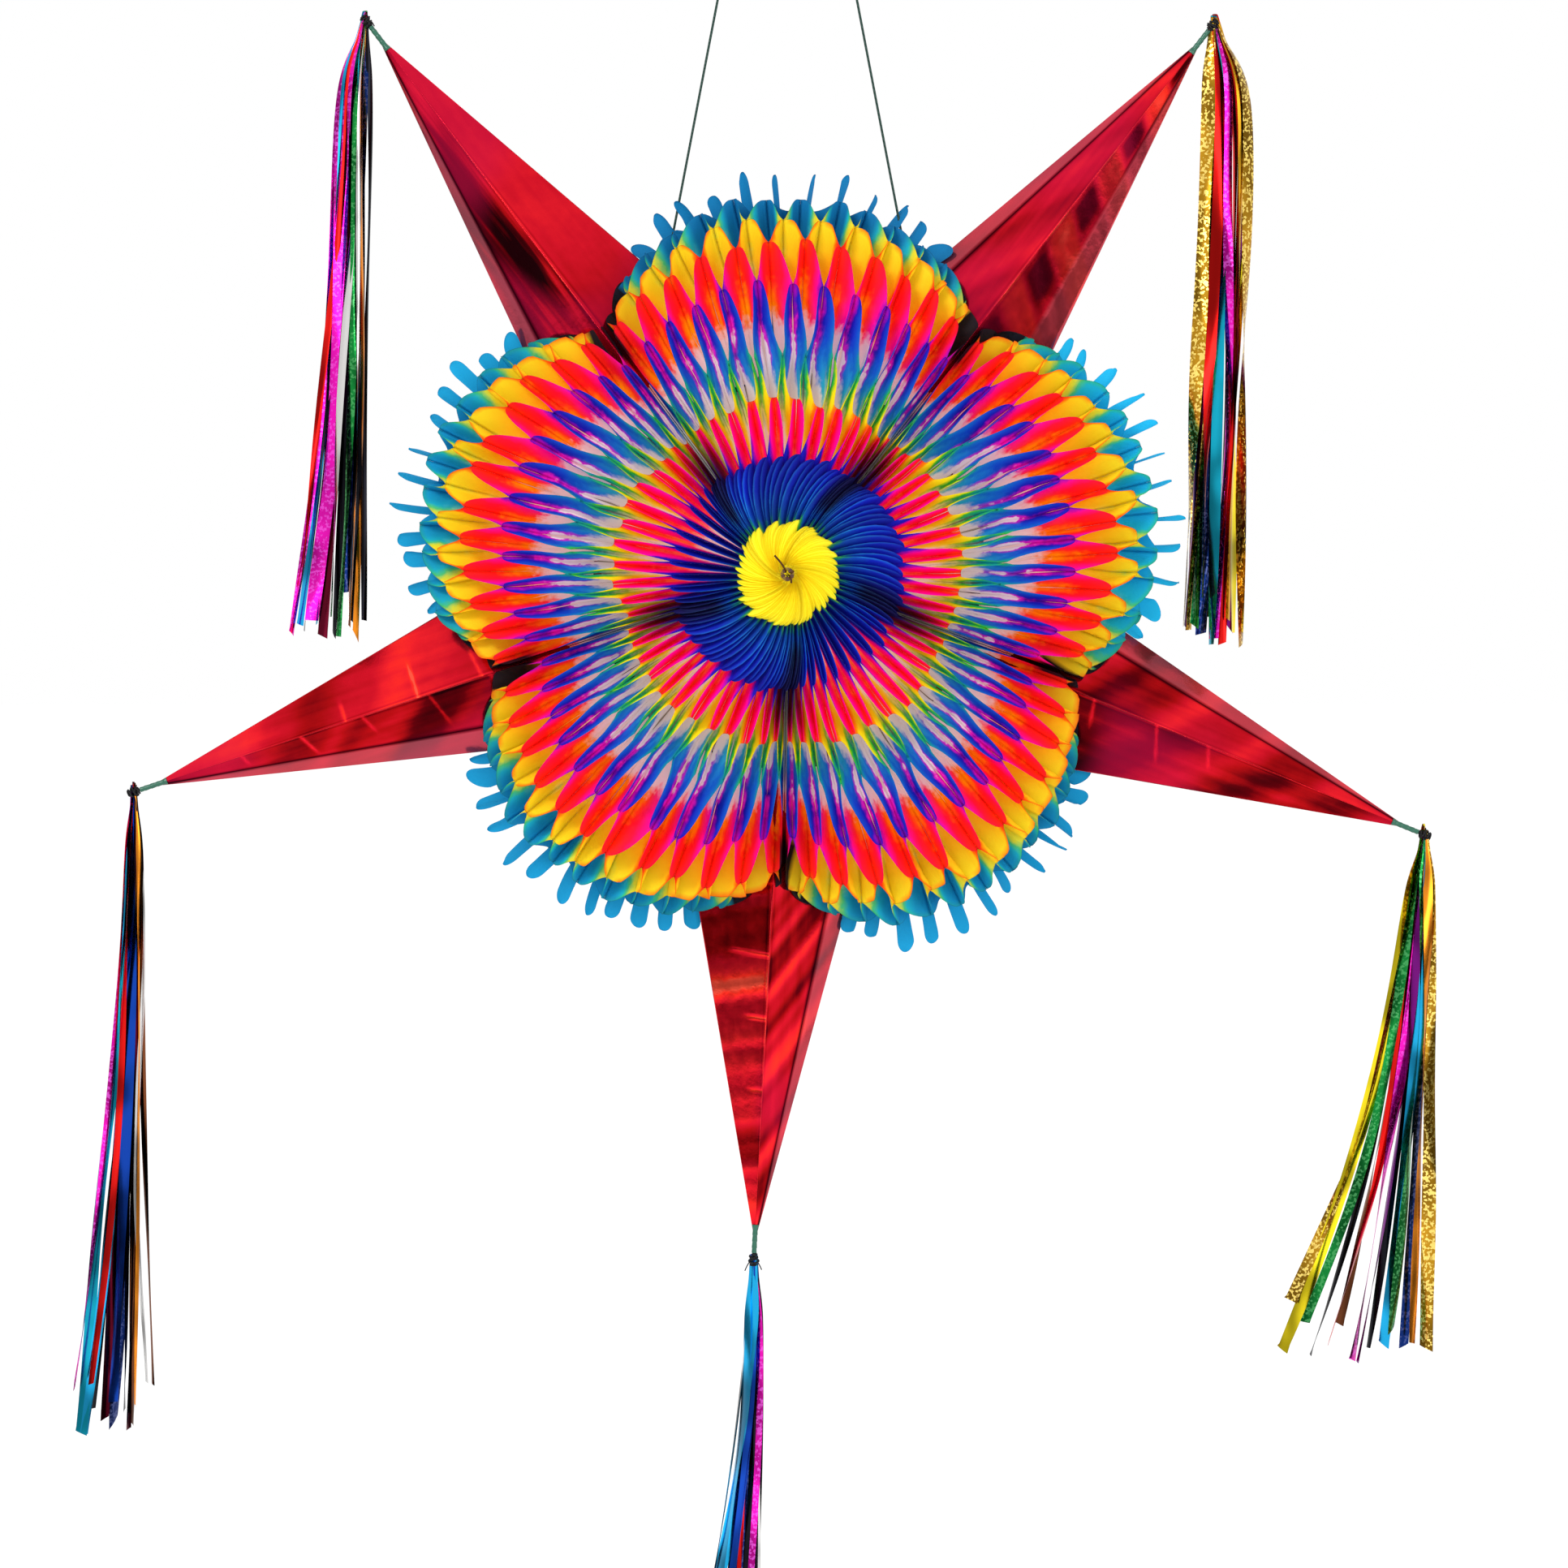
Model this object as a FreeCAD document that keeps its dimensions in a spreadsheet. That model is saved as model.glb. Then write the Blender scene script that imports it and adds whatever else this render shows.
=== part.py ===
import FreeCAD, Part
import math
import os

import Sketcher

# Hanging star of folded tissue fans and foil cones, with a tassel at each point.
# Frame: +Z up, -Y towards the viewer of the front, +X to the viewer's right.
# Origin: middle of the hanger's straight bar, on the line that the star swings about.
# "Spoke" below means a direction from the star's centre, in degrees from +X towards +Z.

os.makedirs("parts", exist_ok=True)
doc = FreeCAD.newDocument("tissue_star")

SIZES = {
    # hanger and strings
    "hanger_radius": 25.0,  # half round of the D-shaped hanger, to the wire's middle
    "hanger_wire": 2.0,  # radius of the hanger's wire
    "loop_reach": 21.5,  # string loops' distance from the middle of the bar
    "loop_radius": 3.1,  # string loop round the bar, to the string's middle
    "string_radius": 0.75,
    "string_knot_radius": 2.2,
    "string_knot_length": 5.0,
    "string_knot_start": 3.4,  # from the bar's line down the string to the knot
    "anchor_reach": 74.7,  # a point of a string beside its cone, from the middle plane
    "anchor_rise": 184.0,  # the same point, above the star's centre
    "anchor_depth": 16.0,  # string inside the cone, before its knot
    "anchor_hole_radius": 1.0,
    "string_channel_radius": 2.5,  # room between the tissue leaves
    "string_bore_start": 100.0,  # the ways for a string through the tissue, below the bar
    "string_bore_spare": 6.0,  # their length past the string's end
    # star
    "centre_drop": 459.0,  # star's centre below the bar
    "cone_base_reach": 98.0,
    "cone_tip_reach": 406.0,
    "cone_base_half_width": 68.7,
    "cone_tip_half_width": 1.6,
    "cone_depth_ratio": 0.8,  # cone's depth over its width
    "cone_wall": 1.2,
    "cone_hollow_tip": 0.5,  # half width of the hollow at the tip
    # tissue
    "pole_radius": 6.0,  # free round hole on the fans' common line
    "pole_depth": 131.0,
    "shoulder_radius": 85.0,
    "shoulder_depth": 104.0,
    "flank_radius": 178.0,
    "flank_depth": 62.0,
    "rim_radius": 238.0,
    "rim_depth": 8.0,
    "lobe_reach": 139.0,  # centre of a lobe's round plan
    "lobe_radius": 99.0,
    "middle_radius": 125.0,  # plan between the lobes
    "well_radius": 60.0,  # way in to the flap, behind
    "end_card_gap": 2.4,  # between two fans, for their two end cards
    "end_card_thickness": 0.8,
    "end_card_clearance": 0.2,  # from a card to the fans' shared plane
    "card_pole_depth": 98.0,  # the cards stop short of the leaves' edges
    "card_shoulder_radius": 70.0,
    "card_shoulder_depth": 88.0,
    "card_flank_radius": 132.0,
    "card_flank_depth": 54.0,
    "card_rim_radius": 180.0,
    "card_rim_depth": 8.0,
    # core box
    "core_apothem": 106.0,
    "core_half_depth": 57.0,
    "core_wall": 2.0,
    "panel_thickness": 2.0,
    "fill_width": 74.0,
    "fill_height": 50.0,
    "flap_width": 82.0,
    "flap_height": 58.0,
    "flap_thickness": 1.5,
    "flap_gap": 0.4,
    "tape_width": 72.0,
    "tape_height": 14.0,
    "tape_thickness": 0.15,
    # centre tie
    "tie_radius": 1.2,
    "tie_hole_clearance": 0.3,
    "tie_front": 137.0,
    "washer_radius": 15.0,
    "washer_thickness": 1.5,
    # points of the star
    "wrap_length": 14.0,
    "wrap_radius": 1.6,
    "knot_radius": 4.0,
    "knot_gap": 0.3,
    "tassel_top_half_depth": 4.0,
    "tassel_end_half_depth": 16.0,
}

# each cone's spoke; the star is made by hand, so they are not quite 72 apart
CONE_SPOKES = {
    "upper_right": 52.2,
    "upper_left": 127.3,
    "left": 198.4,
    "bottom": 267.2,
    "right": 337.8,
}
# spokes of the seams, where two fans meet along a cone
SEAM_SPOKES = {
    "upper_right": 51.9,
    "upper_left": 126.4,
    "left": 198.2,
    "bottom": 269.3,
    "right": 340.3,
}
# each fan runs anticlockwise between two seams
FANS = {
    "top": ("upper_right", "upper_left"),
    "upper_left": ("upper_left", "left"),
    "lower_left": ("left", "bottom"),
    "lower_right": ("bottom", "right"),
    "upper_right": ("right", "upper_right"),
}
CARD_MARGIN_TURN = 4.0  # how far the cards' outline is swept past the seams

# tassels, from the star's centre: top height, bottom height, then the left and right
# edges at the top and at the bottom
TASSELS = {
    "upper_right": (341.0, -46.0, 266.0, 281.0, 234.0, 281.0),
    "upper_left": (329.0, -40.0, -270.0, -260.0, -311.0, -258.0),
    "left": (-139.0, -534.0, -408.0, -398.0, -450.0, -392.0),
    "bottom": (-430.0, -820.0, -27.0, -13.0, -105.0, -55.0),
    "right": (-166.0, -494.0, 392.0, 402.0, 297.0, 372.0),
}
TASSEL_WORDS = ("top", "end", "top_left", "top_right", "end_left", "end_right")
for point, edges in TASSELS.items():
    for word, edge in zip(TASSEL_WORDS, edges):
        SIZES["tassel_%s_%s" % (point, word)] = edge

sheet = doc.addObject("Spreadsheet::Sheet", "sizes")
for row, (alias, size) in enumerate(SIZES.items(), start=1):
    sheet.set("A%d" % row, alias.replace("_", " "))
    sheet.set("B%d" % row, str(size))
    sheet.setAlias("B%d" % row, alias)
doc.recompute()

Y_AXIS = FreeCAD.Vector(0, 1, 0)
CENTRE = FreeCAD.Vector(0, 0, -SIZES["centre_drop"])
# rules for the sheet: how far down a string its point beside the cone, its end and the lower
# end of its upper knot are
STRING_RUN = ("sqrt((sizes.anchor_reach - sizes.loop_reach) ^ 2"
              " + (sizes.centre_drop - sizes.anchor_rise) ^ 2)")
STRING_END = STRING_RUN + " + sizes.anchor_depth"
KNOT_END = "sizes.string_knot_start + sizes.string_knot_length"
UPRIGHT_TO_DEPTH = FreeCAD.Rotation(FreeCAD.Vector(1, 0, 0), -90)  # local Z becomes +Y
sub_parts = []


def spoke_direction(spoke):
    """Unit vector of a spoke, in the star's own plane."""
    angle = math.radians(spoke)
    return FreeCAD.Vector(math.cos(angle), 0, math.sin(angle))


def spoke_placement(spoke, reach=0.0):
    """Local +Z lies along the spoke, local +Y stays the depth."""
    return FreeCAD.Placement(CENTRE + spoke_direction(spoke) * reach,
                             FreeCAD.Rotation(Y_AXIS, 90 - spoke))


def keep(item, label):
    """Makes an object one of the sub-parts that are written out."""
    item.Label = label
    sub_parts.append(item)
    return item


def make(kind, name, rules, placement=None):
    """A Part object with its properties bound to the sheet."""
    item = doc.addObject("Part::" + kind, name)
    for prop, rule in rules.items():
        item.setExpression(prop, rule)
    if placement:
        item.Placement = placement
    return item


def cut(name, base, *tools):
    """Base without the tools."""
    if len(tools) == 1:
        tool = tools[0]
    else:
        tool = doc.addObject("Part::MultiFuse", name + "_tools")
        tool.Shapes = list(tools)
    item = doc.addObject("Part::Cut", name)
    item.Base, item.Tool = base, tool
    return item


def join(name, kind, *items):
    """MultiFuse or MultiCommon of the items."""
    item = doc.addObject("Part::" + kind, name)
    item.Shapes = list(items)
    return item


def outline(name, corners, placement):
    """Closed sketch of straight lines; each corner is a pair of rules for the sheet."""
    sketch = doc.addObject("Sketcher::SketchObject", name)
    count = len(corners)
    start = [FreeCAD.Vector(10 * math.cos(2 * math.pi * i / count),
                            10 * math.sin(2 * math.pi * i / count), 0) for i in range(count)]
    for i in range(count):
        sketch.addGeometry(Part.LineSegment(start[i], start[(i + 1) % count]), False)
    for i in range(count):
        sketch.addConstraint(Sketcher.Constraint("Coincident", i, 2, (i + 1) % count, 1))
    for i, corner in enumerate(corners):
        for kind, rule in zip(("DistanceX", "DistanceY"), corner):
            number = sketch.addConstraint(Sketcher.Constraint(kind, -1, 1, i, 1, 1.0))
            sketch.setExpression("Constraints[%d]" % number, rule)
    sketch.Placement = placement
    return sketch


def diamond(name, half_width, spoke, reach):
    """Diamond section of a cone, across its spoke."""
    half_depth = "(%s) * sizes.cone_depth_ratio" % half_width
    corners = [("(%s)" % half_width, "0"), ("0", half_depth),
               ("-(%s)" % half_width, "0"), ("0", "-" + half_depth)]
    return outline(name, corners, spoke_placement(spoke, reach))


def pyramid(name, base_half_width, tip_half_width, spoke):
    """Solid between two diamond sections."""
    sections = [diamond(name + "_base", base_half_width, spoke, SIZES["cone_base_reach"]),
                diamond(name + "_tip", tip_half_width, spoke, SIZES["cone_tip_reach"])]
    item = doc.addObject("Part::Loft", name)
    item.Sections = sections
    item.Solid = True
    item.Ruled = True
    return item


def prism(name, apothem, height_rule, front):
    """Five-sided block round the depth axis, one corner up, its front face at y = front."""
    turn = FreeCAD.Rotation(Y_AXIS, -90)
    placement = FreeCAD.Placement(CENTRE + FreeCAD.Vector(0, front, 0), turn * UPRIGHT_TO_DEPTH)
    item = make("Prism", name, {"Circumradius": "(%s) / cos(36 deg)" % apothem,
                                "Height": height_rule}, placement)
    item.Polygon = 5
    return item


def depth_cylinder(name, radius, height_rule, middle, front):
    """Cylinder along the depth, its front face at y = front."""
    return make("Cylinder", name, {"Radius": radius, "Height": height_rule},
                FreeCAD.Placement(middle + FreeCAD.Vector(0, front, 0), UPRIGHT_TO_DEPTH))


def build_hanger():
    """D-shaped wire hanger: straight bar below, half round above."""
    half = SIZES["hanger_radius"]
    bow = make("Torus", "hanger_bow", {"Radius1": "sizes.hanger_radius",
                                       "Radius2": "sizes.hanger_wire"})
    bow.Angle3 = 180
    bow.Placement = FreeCAD.Placement(FreeCAD.Vector(0, 0, 0),
                                      FreeCAD.Rotation(FreeCAD.Vector(1, 0, 0), 90))
    along_x = FreeCAD.Rotation(Y_AXIS, 90)
    bar = make("Cylinder", "hanger_bar", {"Radius": "sizes.hanger_wire",
                                          "Height": "2 * sizes.hanger_radius"},
               FreeCAD.Placement(FreeCAD.Vector(-half, 0, 0), along_x))
    corners = [make("Sphere", "hanger_corner_%s" % side, {"Radius": "sizes.hanger_wire"},
                    FreeCAD.Placement(FreeCAD.Vector(x, 0, 0), FreeCAD.Rotation()))
               for side, x in (("left", -half), ("right", half))]
    keep(join("hanger", "MultiFuse", bar, bow, *corners), "hanger_ring")


def string_placement(sign, start):
    """Local +Z runs down the taut string, from a point that far below the bar."""
    drop = SIZES["centre_drop"] - SIZES["anchor_rise"]
    lean = math.degrees(math.atan2(SIZES["anchor_reach"] - SIZES["loop_reach"], drop))
    turn = FreeCAD.Rotation(Y_AXIS, 180 - sign * lean)
    top = FreeCAD.Vector(sign * SIZES["loop_reach"], 0, 0)
    return FreeCAD.Placement(top + turn.multVec(FreeCAD.Vector(0, 0, start)), turn)


def build_strings():
    """Two taut strings, each with its loop and knot above and its knot in a cone below."""
    run = math.hypot(SIZES["anchor_reach"] - SIZES["loop_reach"],
                     SIZES["centre_drop"] - SIZES["anchor_rise"])
    knot_end = SIZES["string_knot_start"] + SIZES["string_knot_length"]
    inner_end = run + SIZES["anchor_depth"]
    along_x = FreeCAD.Rotation(Y_AXIS, 90)
    for side, sign in (("left", -1), ("right", 1)):
        top = FreeCAD.Vector(sign * SIZES["loop_reach"], 0, 0)
        loop = make("Torus", "loop_%s" % side, {"Radius1": "sizes.loop_radius",
                                                "Radius2": "sizes.string_radius"},
                    FreeCAD.Placement(top, along_x))
        knot_rules = {"Radius": "sizes.string_knot_radius", "Height": "sizes.string_knot_length"}
        knot = make("Cylinder", "loop_knot_%s" % side, knot_rules,
                    string_placement(sign, SIZES["string_knot_start"]))
        keep(join("tied_loop_%s" % side, "MultiFuse", loop, knot), "string_loop_%s" % side)
        line = make("Cylinder", "line_%s" % side,
                    {"Radius": "sizes.string_radius", "Height": STRING_END + " - (" + KNOT_END + ")"},
                    string_placement(sign, knot_end))
        keep(line, "hanging_string_%s" % side)
        inner = make("Cylinder", "inner_knot_%s" % side, knot_rules,
                     string_placement(sign, inner_end))
        keep(inner, "anchor_knot_%s" % side)


def string_bore(name, side, radius):
    """Straight way for a string and the knot at its end."""
    sign = -1 if side == "left" else 1
    length = STRING_END + " + sizes.string_bore_spare - sizes.string_bore_start"
    return make("Cylinder", name, {"Radius": radius, "Height": length},
                string_placement(sign, SIZES["string_bore_start"]))


def build_core():
    """Five-sided carton: band, two panels, and a flap taped over the filling hole."""
    half = SIZES["core_half_depth"]
    panel = SIZES["panel_thickness"]
    block = prism("core_block", "sizes.core_apothem",
                  "2 * (sizes.core_half_depth + sizes.panel_thickness)", -half - panel)
    outer = prism("band_outer", "sizes.core_apothem", "2 * sizes.core_half_depth", -half)
    inner = prism("band_inner", "sizes.core_apothem - sizes.core_wall",
                  "2 * sizes.core_half_depth", -half)
    keep(cut("band", outer, inner), "core_band")

    tie_hole = depth_cylinder("tie_hole", "sizes.tie_radius + sizes.tie_hole_clearance",
                              "4 * sizes.panel_thickness", CENTRE, -half - 2 * panel)
    front = prism("front_plate", "sizes.core_apothem", "sizes.panel_thickness", -half - panel)
    keep(cut("front", front, tie_hole), "core_front_panel")

    back = prism("back_plate", "sizes.core_apothem", "sizes.panel_thickness", half)
    hole = make("Box", "filling_hole", {"Length": "sizes.fill_width",
                                        "Width": "3 * sizes.panel_thickness",
                                        "Height": "sizes.fill_height"})
    hole.Placement.Base = CENTRE + FreeCAD.Vector(-SIZES["fill_width"] / 2, half - panel,
                                                  -SIZES["fill_height"] / 2)
    keep(cut("back", back, hole), "core_back_panel")

    flap = make("Box", "flap", {"Length": "sizes.flap_width", "Width": "sizes.flap_thickness",
                                "Height": "sizes.flap_height"})
    flap.Placement.Base = CENTRE + FreeCAD.Vector(
        -SIZES["flap_width"] / 2, half + panel + SIZES["flap_gap"], -SIZES["flap_height"] / 2)
    keep(flap, "fill_flap")

    tape = make("Box", "tape", {"Length": "sizes.tape_width", "Width": "sizes.tape_thickness",
                                "Height": "sizes.tape_height"})
    tape.Placement.Base = CENTRE + FreeCAD.Vector(
        -SIZES["tape_width"] / 2, half + panel, SIZES["flap_height"] / 2 + SIZES["flap_gap"])
    keep(tape, "flap_tape_hinge")
    return block


def build_centre_tie():
    """Twisted wire that holds the fans' front corners together, and its washer inside."""
    inside = SIZES["core_half_depth"]
    wire = depth_cylinder("tie_wire", "sizes.tie_radius",
                          "sizes.tie_front - sizes.core_half_depth + sizes.washer_thickness",
                          CENTRE, -SIZES["tie_front"])
    keep(wire, "centre_wire_tie")
    washer = depth_cylinder("washer", "sizes.washer_radius", "sizes.washer_thickness",
                            CENTRE, -inside)
    keep(cut("washer_ring", washer, wire), "centre_washer")


def build_cones(core_block):
    """Hollow four-sided foil cones, open against the core. Returns their solid outsides."""
    solids = {}
    for name, spoke in CONE_SPOKES.items():
        solid = pyramid("cone_solid_" + name, "sizes.cone_base_half_width",
                        "sizes.cone_tip_half_width", spoke)
        hollow = pyramid("cone_hollow_" + name, "sizes.cone_base_half_width - 2 * sizes.cone_wall",
                         "sizes.cone_hollow_tip", spoke)
        tools = [hollow, core_block]
        if name in ("upper_left", "upper_right"):
            side = name.split("_")[1]
            tools.append(string_bore("anchor_hole_" + side, side, "sizes.anchor_hole_radius"))
        keep(cut("cone_" + name, solid, *tools), "cone_" + name)
        solids[name] = solid
    return solids


def dome(name, first, turn, family=""):
    """Tissue body, or with family "card_" the cards' smaller outline, swept from one spoke."""
    places = [("pole_radius", family + "pole_depth"),
              (family + "shoulder_radius", family + "shoulder_depth"),
              (family + "flank_radius", family + "flank_depth"),
              (family + "rim_radius", family + "rim_depth")]
    front = [("sizes." + radius, "-sizes." + depth) for radius, depth in places]
    back = [("sizes." + radius, "sizes." + depth) for radius, depth in reversed(places)]
    swept = doc.addObject("Part::Revolution", name)
    swept.Source = outline(name + "_section", front + back,
                           FreeCAD.Placement(CENTRE, FreeCAD.Rotation(Y_AXIS, -first)))
    swept.Axis = FreeCAD.Vector(0, -1, 0)
    swept.Base = CENTRE
    swept.Angle = turn
    swept.Solid = True
    return swept


def plan_block(name, spoke):
    """Round lobe and the round middle, as deep as the tissue."""
    depth = "2 * sizes.pole_depth"
    front = -SIZES["pole_depth"]
    lobe = depth_cylinder(name + "_lobe", "sizes.lobe_radius", depth,
                          CENTRE + spoke_direction(spoke) * SIZES["lobe_reach"], front)
    middle = depth_cylinder(name + "_middle", "sizes.middle_radius", depth, CENTRE, front)
    return join(name, "MultiFuse", lobe, middle)


def seam_slab(name, spoke, offset, thickness):
    """Slab along a seam's plane, its near face that far anticlockwise of the plane."""
    slab = make("Box", name, {"Length": thickness, "Width": "2 * sizes.pole_depth",
                              "Height": "sizes.rim_radius"})
    placement = spoke_placement(spoke)
    shift = placement.Rotation.multVec(FreeCAD.Vector(-offset, -SIZES["pole_depth"], 0))
    slab.Placement = FreeCAD.Placement(CENTRE + shift, placement.Rotation)
    return slab


def build_fans(core_block, cone_solids):
    """Tissue fans, with the two end cards of each."""
    well = depth_cylinder("well", "sizes.well_radius", "sizes.pole_depth", CENTRE,
                          SIZES["core_half_depth"])
    gap, card = SIZES["end_card_gap"], SIZES["end_card_thickness"]
    clear = SIZES["end_card_clearance"]
    for name, (first_seam, last_seam) in FANS.items():
        first = SEAM_SPOKES[first_seam]
        turn = (SEAM_SPOKES[last_seam] - first) % 360
        spoke = first + turn / 2
        plan = plan_block("plan_" + name, spoke)
        blank = join("fan_blank_" + name, "MultiCommon", dome("dome_" + name, first, turn), plan)
        gaps = [seam_slab("gap_%s_%s" % (name, end), seam, gap / 2, "sizes.end_card_gap")
                for end, seam in (("first", first), ("last", first + turn))]
        tools = [core_block, well] + list(cone_solids.values()) + gaps
        if name == "top":
            tools += [string_bore("channel_" + side, side, "sizes.string_channel_radius")
                      for side in ("left", "right")]
        keep(cut("fan_" + name, blank, *tools), "tissue_fan_" + name)

        slabs = [seam_slab("card_%s_first" % name, first, clear + card,
                           "sizes.end_card_thickness"),
                 seam_slab("card_%s_last" % name, first + turn, -clear,
                           "sizes.end_card_thickness")]
        whole = dome("card_dome_" + name, first - CARD_MARGIN_TURN, turn + 2 * CARD_MARGIN_TURN,
                     "card_")
        pair = join("card_pair_" + name, "MultiFuse", *slabs)
        card_plan = plan_block("card_plan_" + name, spoke)
        cards = join("card_blank_" + name, "MultiCommon", pair, whole, card_plan)
        keep(cut("cards_" + name, cards, core_block, well, *cone_solids.values()),
             "fan_end_cards_" + name)


def build_points():
    """Tape wrap, tie knot and tassel at each cone's tip."""
    for name, spoke in CONE_SPOKES.items():
        wrap = make("Cylinder", "wrap_" + name, {"Radius": "sizes.wrap_radius",
                                                 "Height": "sizes.wrap_length"},
                    spoke_placement(spoke, SIZES["cone_tip_reach"]))
        keep(wrap, "tip_wrap_" + name)
        reach = (SIZES["cone_tip_reach"] + SIZES["wrap_length"] + SIZES["knot_gap"]
                 + SIZES["knot_radius"])
        knot = make("Sphere", "knot_" + name, {"Radius": "sizes.knot_radius"},
                    spoke_placement(spoke, reach))
        keep(knot, "tassel_knot_" + name)
        edges = {"Ymin": "end", "Ymax": "top", "Xmin": "end_left", "Xmax": "end_right",
                 "X2min": "top_left", "X2max": "top_right"}
        rules = {prop: "sizes.tassel_%s_%s" % (name, word) for prop, word in edges.items()}
        rules.update({"Zmin": "-sizes.tassel_end_half_depth", "Zmax": "sizes.tassel_end_half_depth",
                      "Z2min": "-sizes.tassel_top_half_depth",
                      "Z2max": "sizes.tassel_top_half_depth"})
        tassel = make("Wedge", "strips_" + name, rules, FreeCAD.Placement(
            CENTRE, FreeCAD.Rotation(FreeCAD.Vector(1, 0, 0), 90)))
        keep(tassel, "tassel_" + name)


def check_document():
    """Stops on any failed object or bad shape."""
    for item in doc.Objects:
        bad = [state for state in item.State if state in ("Invalid", "Error")]
        if bad:
            raise RuntimeError("%s is %s" % (item.Name, bad))
    for item in sub_parts:
        shape = item.Shape
        if shape.isNull() or not shape.isValid() or not shape.Solids:
            raise RuntimeError("%s has a bad shape" % item.Label)
        box = shape.BoundBox
        print("%-30s solids %d  volume %10.1f  x %.1f..%.1f  y %.1f..%.1f  z %.1f..%.1f" % (
            item.Label, len(shape.Solids), shape.Volume, box.XMin, box.XMax,
            box.YMin, box.YMax, box.ZMin, box.ZMax))


build_hanger()
build_strings()
core = build_core()
build_centre_tie()
cones = build_cones(core)
build_fans(core, cones)
build_points()
doc.recompute()
check_document()
for item in sub_parts:
    item.Shape.exportStep("parts/%s.step" % item.Label)
print("wrote", len(sub_parts), "parts")
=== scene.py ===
"""Hanging star pinata: honeycomb tissue fans, foil cones, foil tassels and strings.

Lengths are millimetres until they reach a mesh, which is in metres. The star's own plane is x-z,
its front faces -y, and a "spoke" is a direction from its centre in degrees from +x towards +z.
"""

import math
from collections import namedtuple

import bpy
import numpy as np
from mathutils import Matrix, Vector


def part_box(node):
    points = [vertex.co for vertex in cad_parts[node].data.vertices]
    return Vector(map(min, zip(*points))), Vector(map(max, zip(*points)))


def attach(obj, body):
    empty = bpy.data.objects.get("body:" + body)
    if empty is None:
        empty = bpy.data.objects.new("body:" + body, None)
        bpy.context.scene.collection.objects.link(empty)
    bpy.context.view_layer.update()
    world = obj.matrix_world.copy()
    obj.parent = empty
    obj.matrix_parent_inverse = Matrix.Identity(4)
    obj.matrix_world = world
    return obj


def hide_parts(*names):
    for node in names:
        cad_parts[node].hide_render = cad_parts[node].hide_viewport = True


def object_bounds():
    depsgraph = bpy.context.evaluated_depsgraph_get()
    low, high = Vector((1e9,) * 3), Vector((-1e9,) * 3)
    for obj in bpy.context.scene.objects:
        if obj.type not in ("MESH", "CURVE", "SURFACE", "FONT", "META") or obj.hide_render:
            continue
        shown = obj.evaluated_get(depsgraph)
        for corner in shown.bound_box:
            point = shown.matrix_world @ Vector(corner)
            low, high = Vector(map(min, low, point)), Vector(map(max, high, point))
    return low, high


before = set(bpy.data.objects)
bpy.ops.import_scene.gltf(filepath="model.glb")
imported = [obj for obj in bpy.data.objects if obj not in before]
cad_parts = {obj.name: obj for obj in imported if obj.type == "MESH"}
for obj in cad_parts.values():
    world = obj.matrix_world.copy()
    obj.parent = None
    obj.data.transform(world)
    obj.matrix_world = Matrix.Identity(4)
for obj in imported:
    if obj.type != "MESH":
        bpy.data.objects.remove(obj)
cad_low, cad_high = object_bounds()

MM = 0.001
POINTS = ("upper_right", "upper_left", "left", "bottom", "right")
# spokes of the seams, where two fans meet along a cone
SEAM_SPOKES = dict(zip(POINTS, (51.9, 126.4, 198.2, 269.3, 340.3)))
# each fan runs anticlockwise between two seams
FANS = {
    "top": ("upper_right", "upper_left"),
    "upper_left": ("upper_left", "left"),
    "lower_left": ("left", "bottom"),
    "lower_right": ("bottom", "right"),
    "upper_right": ("right", "upper_right"),
}


def middle_of(node):
    """Middle of a CAD node's box, in millimetres."""
    low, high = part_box(node)
    return np.array((low + high) / 2) / MM


CENTRE = middle_of("centre_washer") * (1, 0, 1)


def spoke_of(node):
    """Direction and distance of a CAD node from the star's centre."""
    x, _, z = middle_of(node) - CENTRE
    return math.degrees(math.atan2(z, x)) % 360, math.hypot(x, z)


CONE_SPOKES = {point: spoke_of("tip_wrap_" + point)[0] for point in POINTS}


# ---- meshes

def along(spoke):
    """Unit vector of a spoke."""
    angle = math.radians(spoke)
    return np.array((math.cos(angle), 0.0, math.sin(angle)))


def smooth_step(x, low=0.0, high=1.0):
    """0 below low, 1 above high, smooth between."""
    x = np.clip((x - low) / (high - low), 0, 1)
    return x * x * (3 - 2 * x)


def new_object(name, data):
    """An object in the scene."""
    item = bpy.data.objects.new(name, data)
    bpy.context.scene.collection.objects.link(item)
    return item


def around(radius, angle, depth):
    """Points round the star's centre, by their radius, angle and depth."""
    return np.stack([CENTRE[0] + radius * np.cos(angle), depth,
                     CENTRE[2] + radius * np.sin(angle)], -1)


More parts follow.
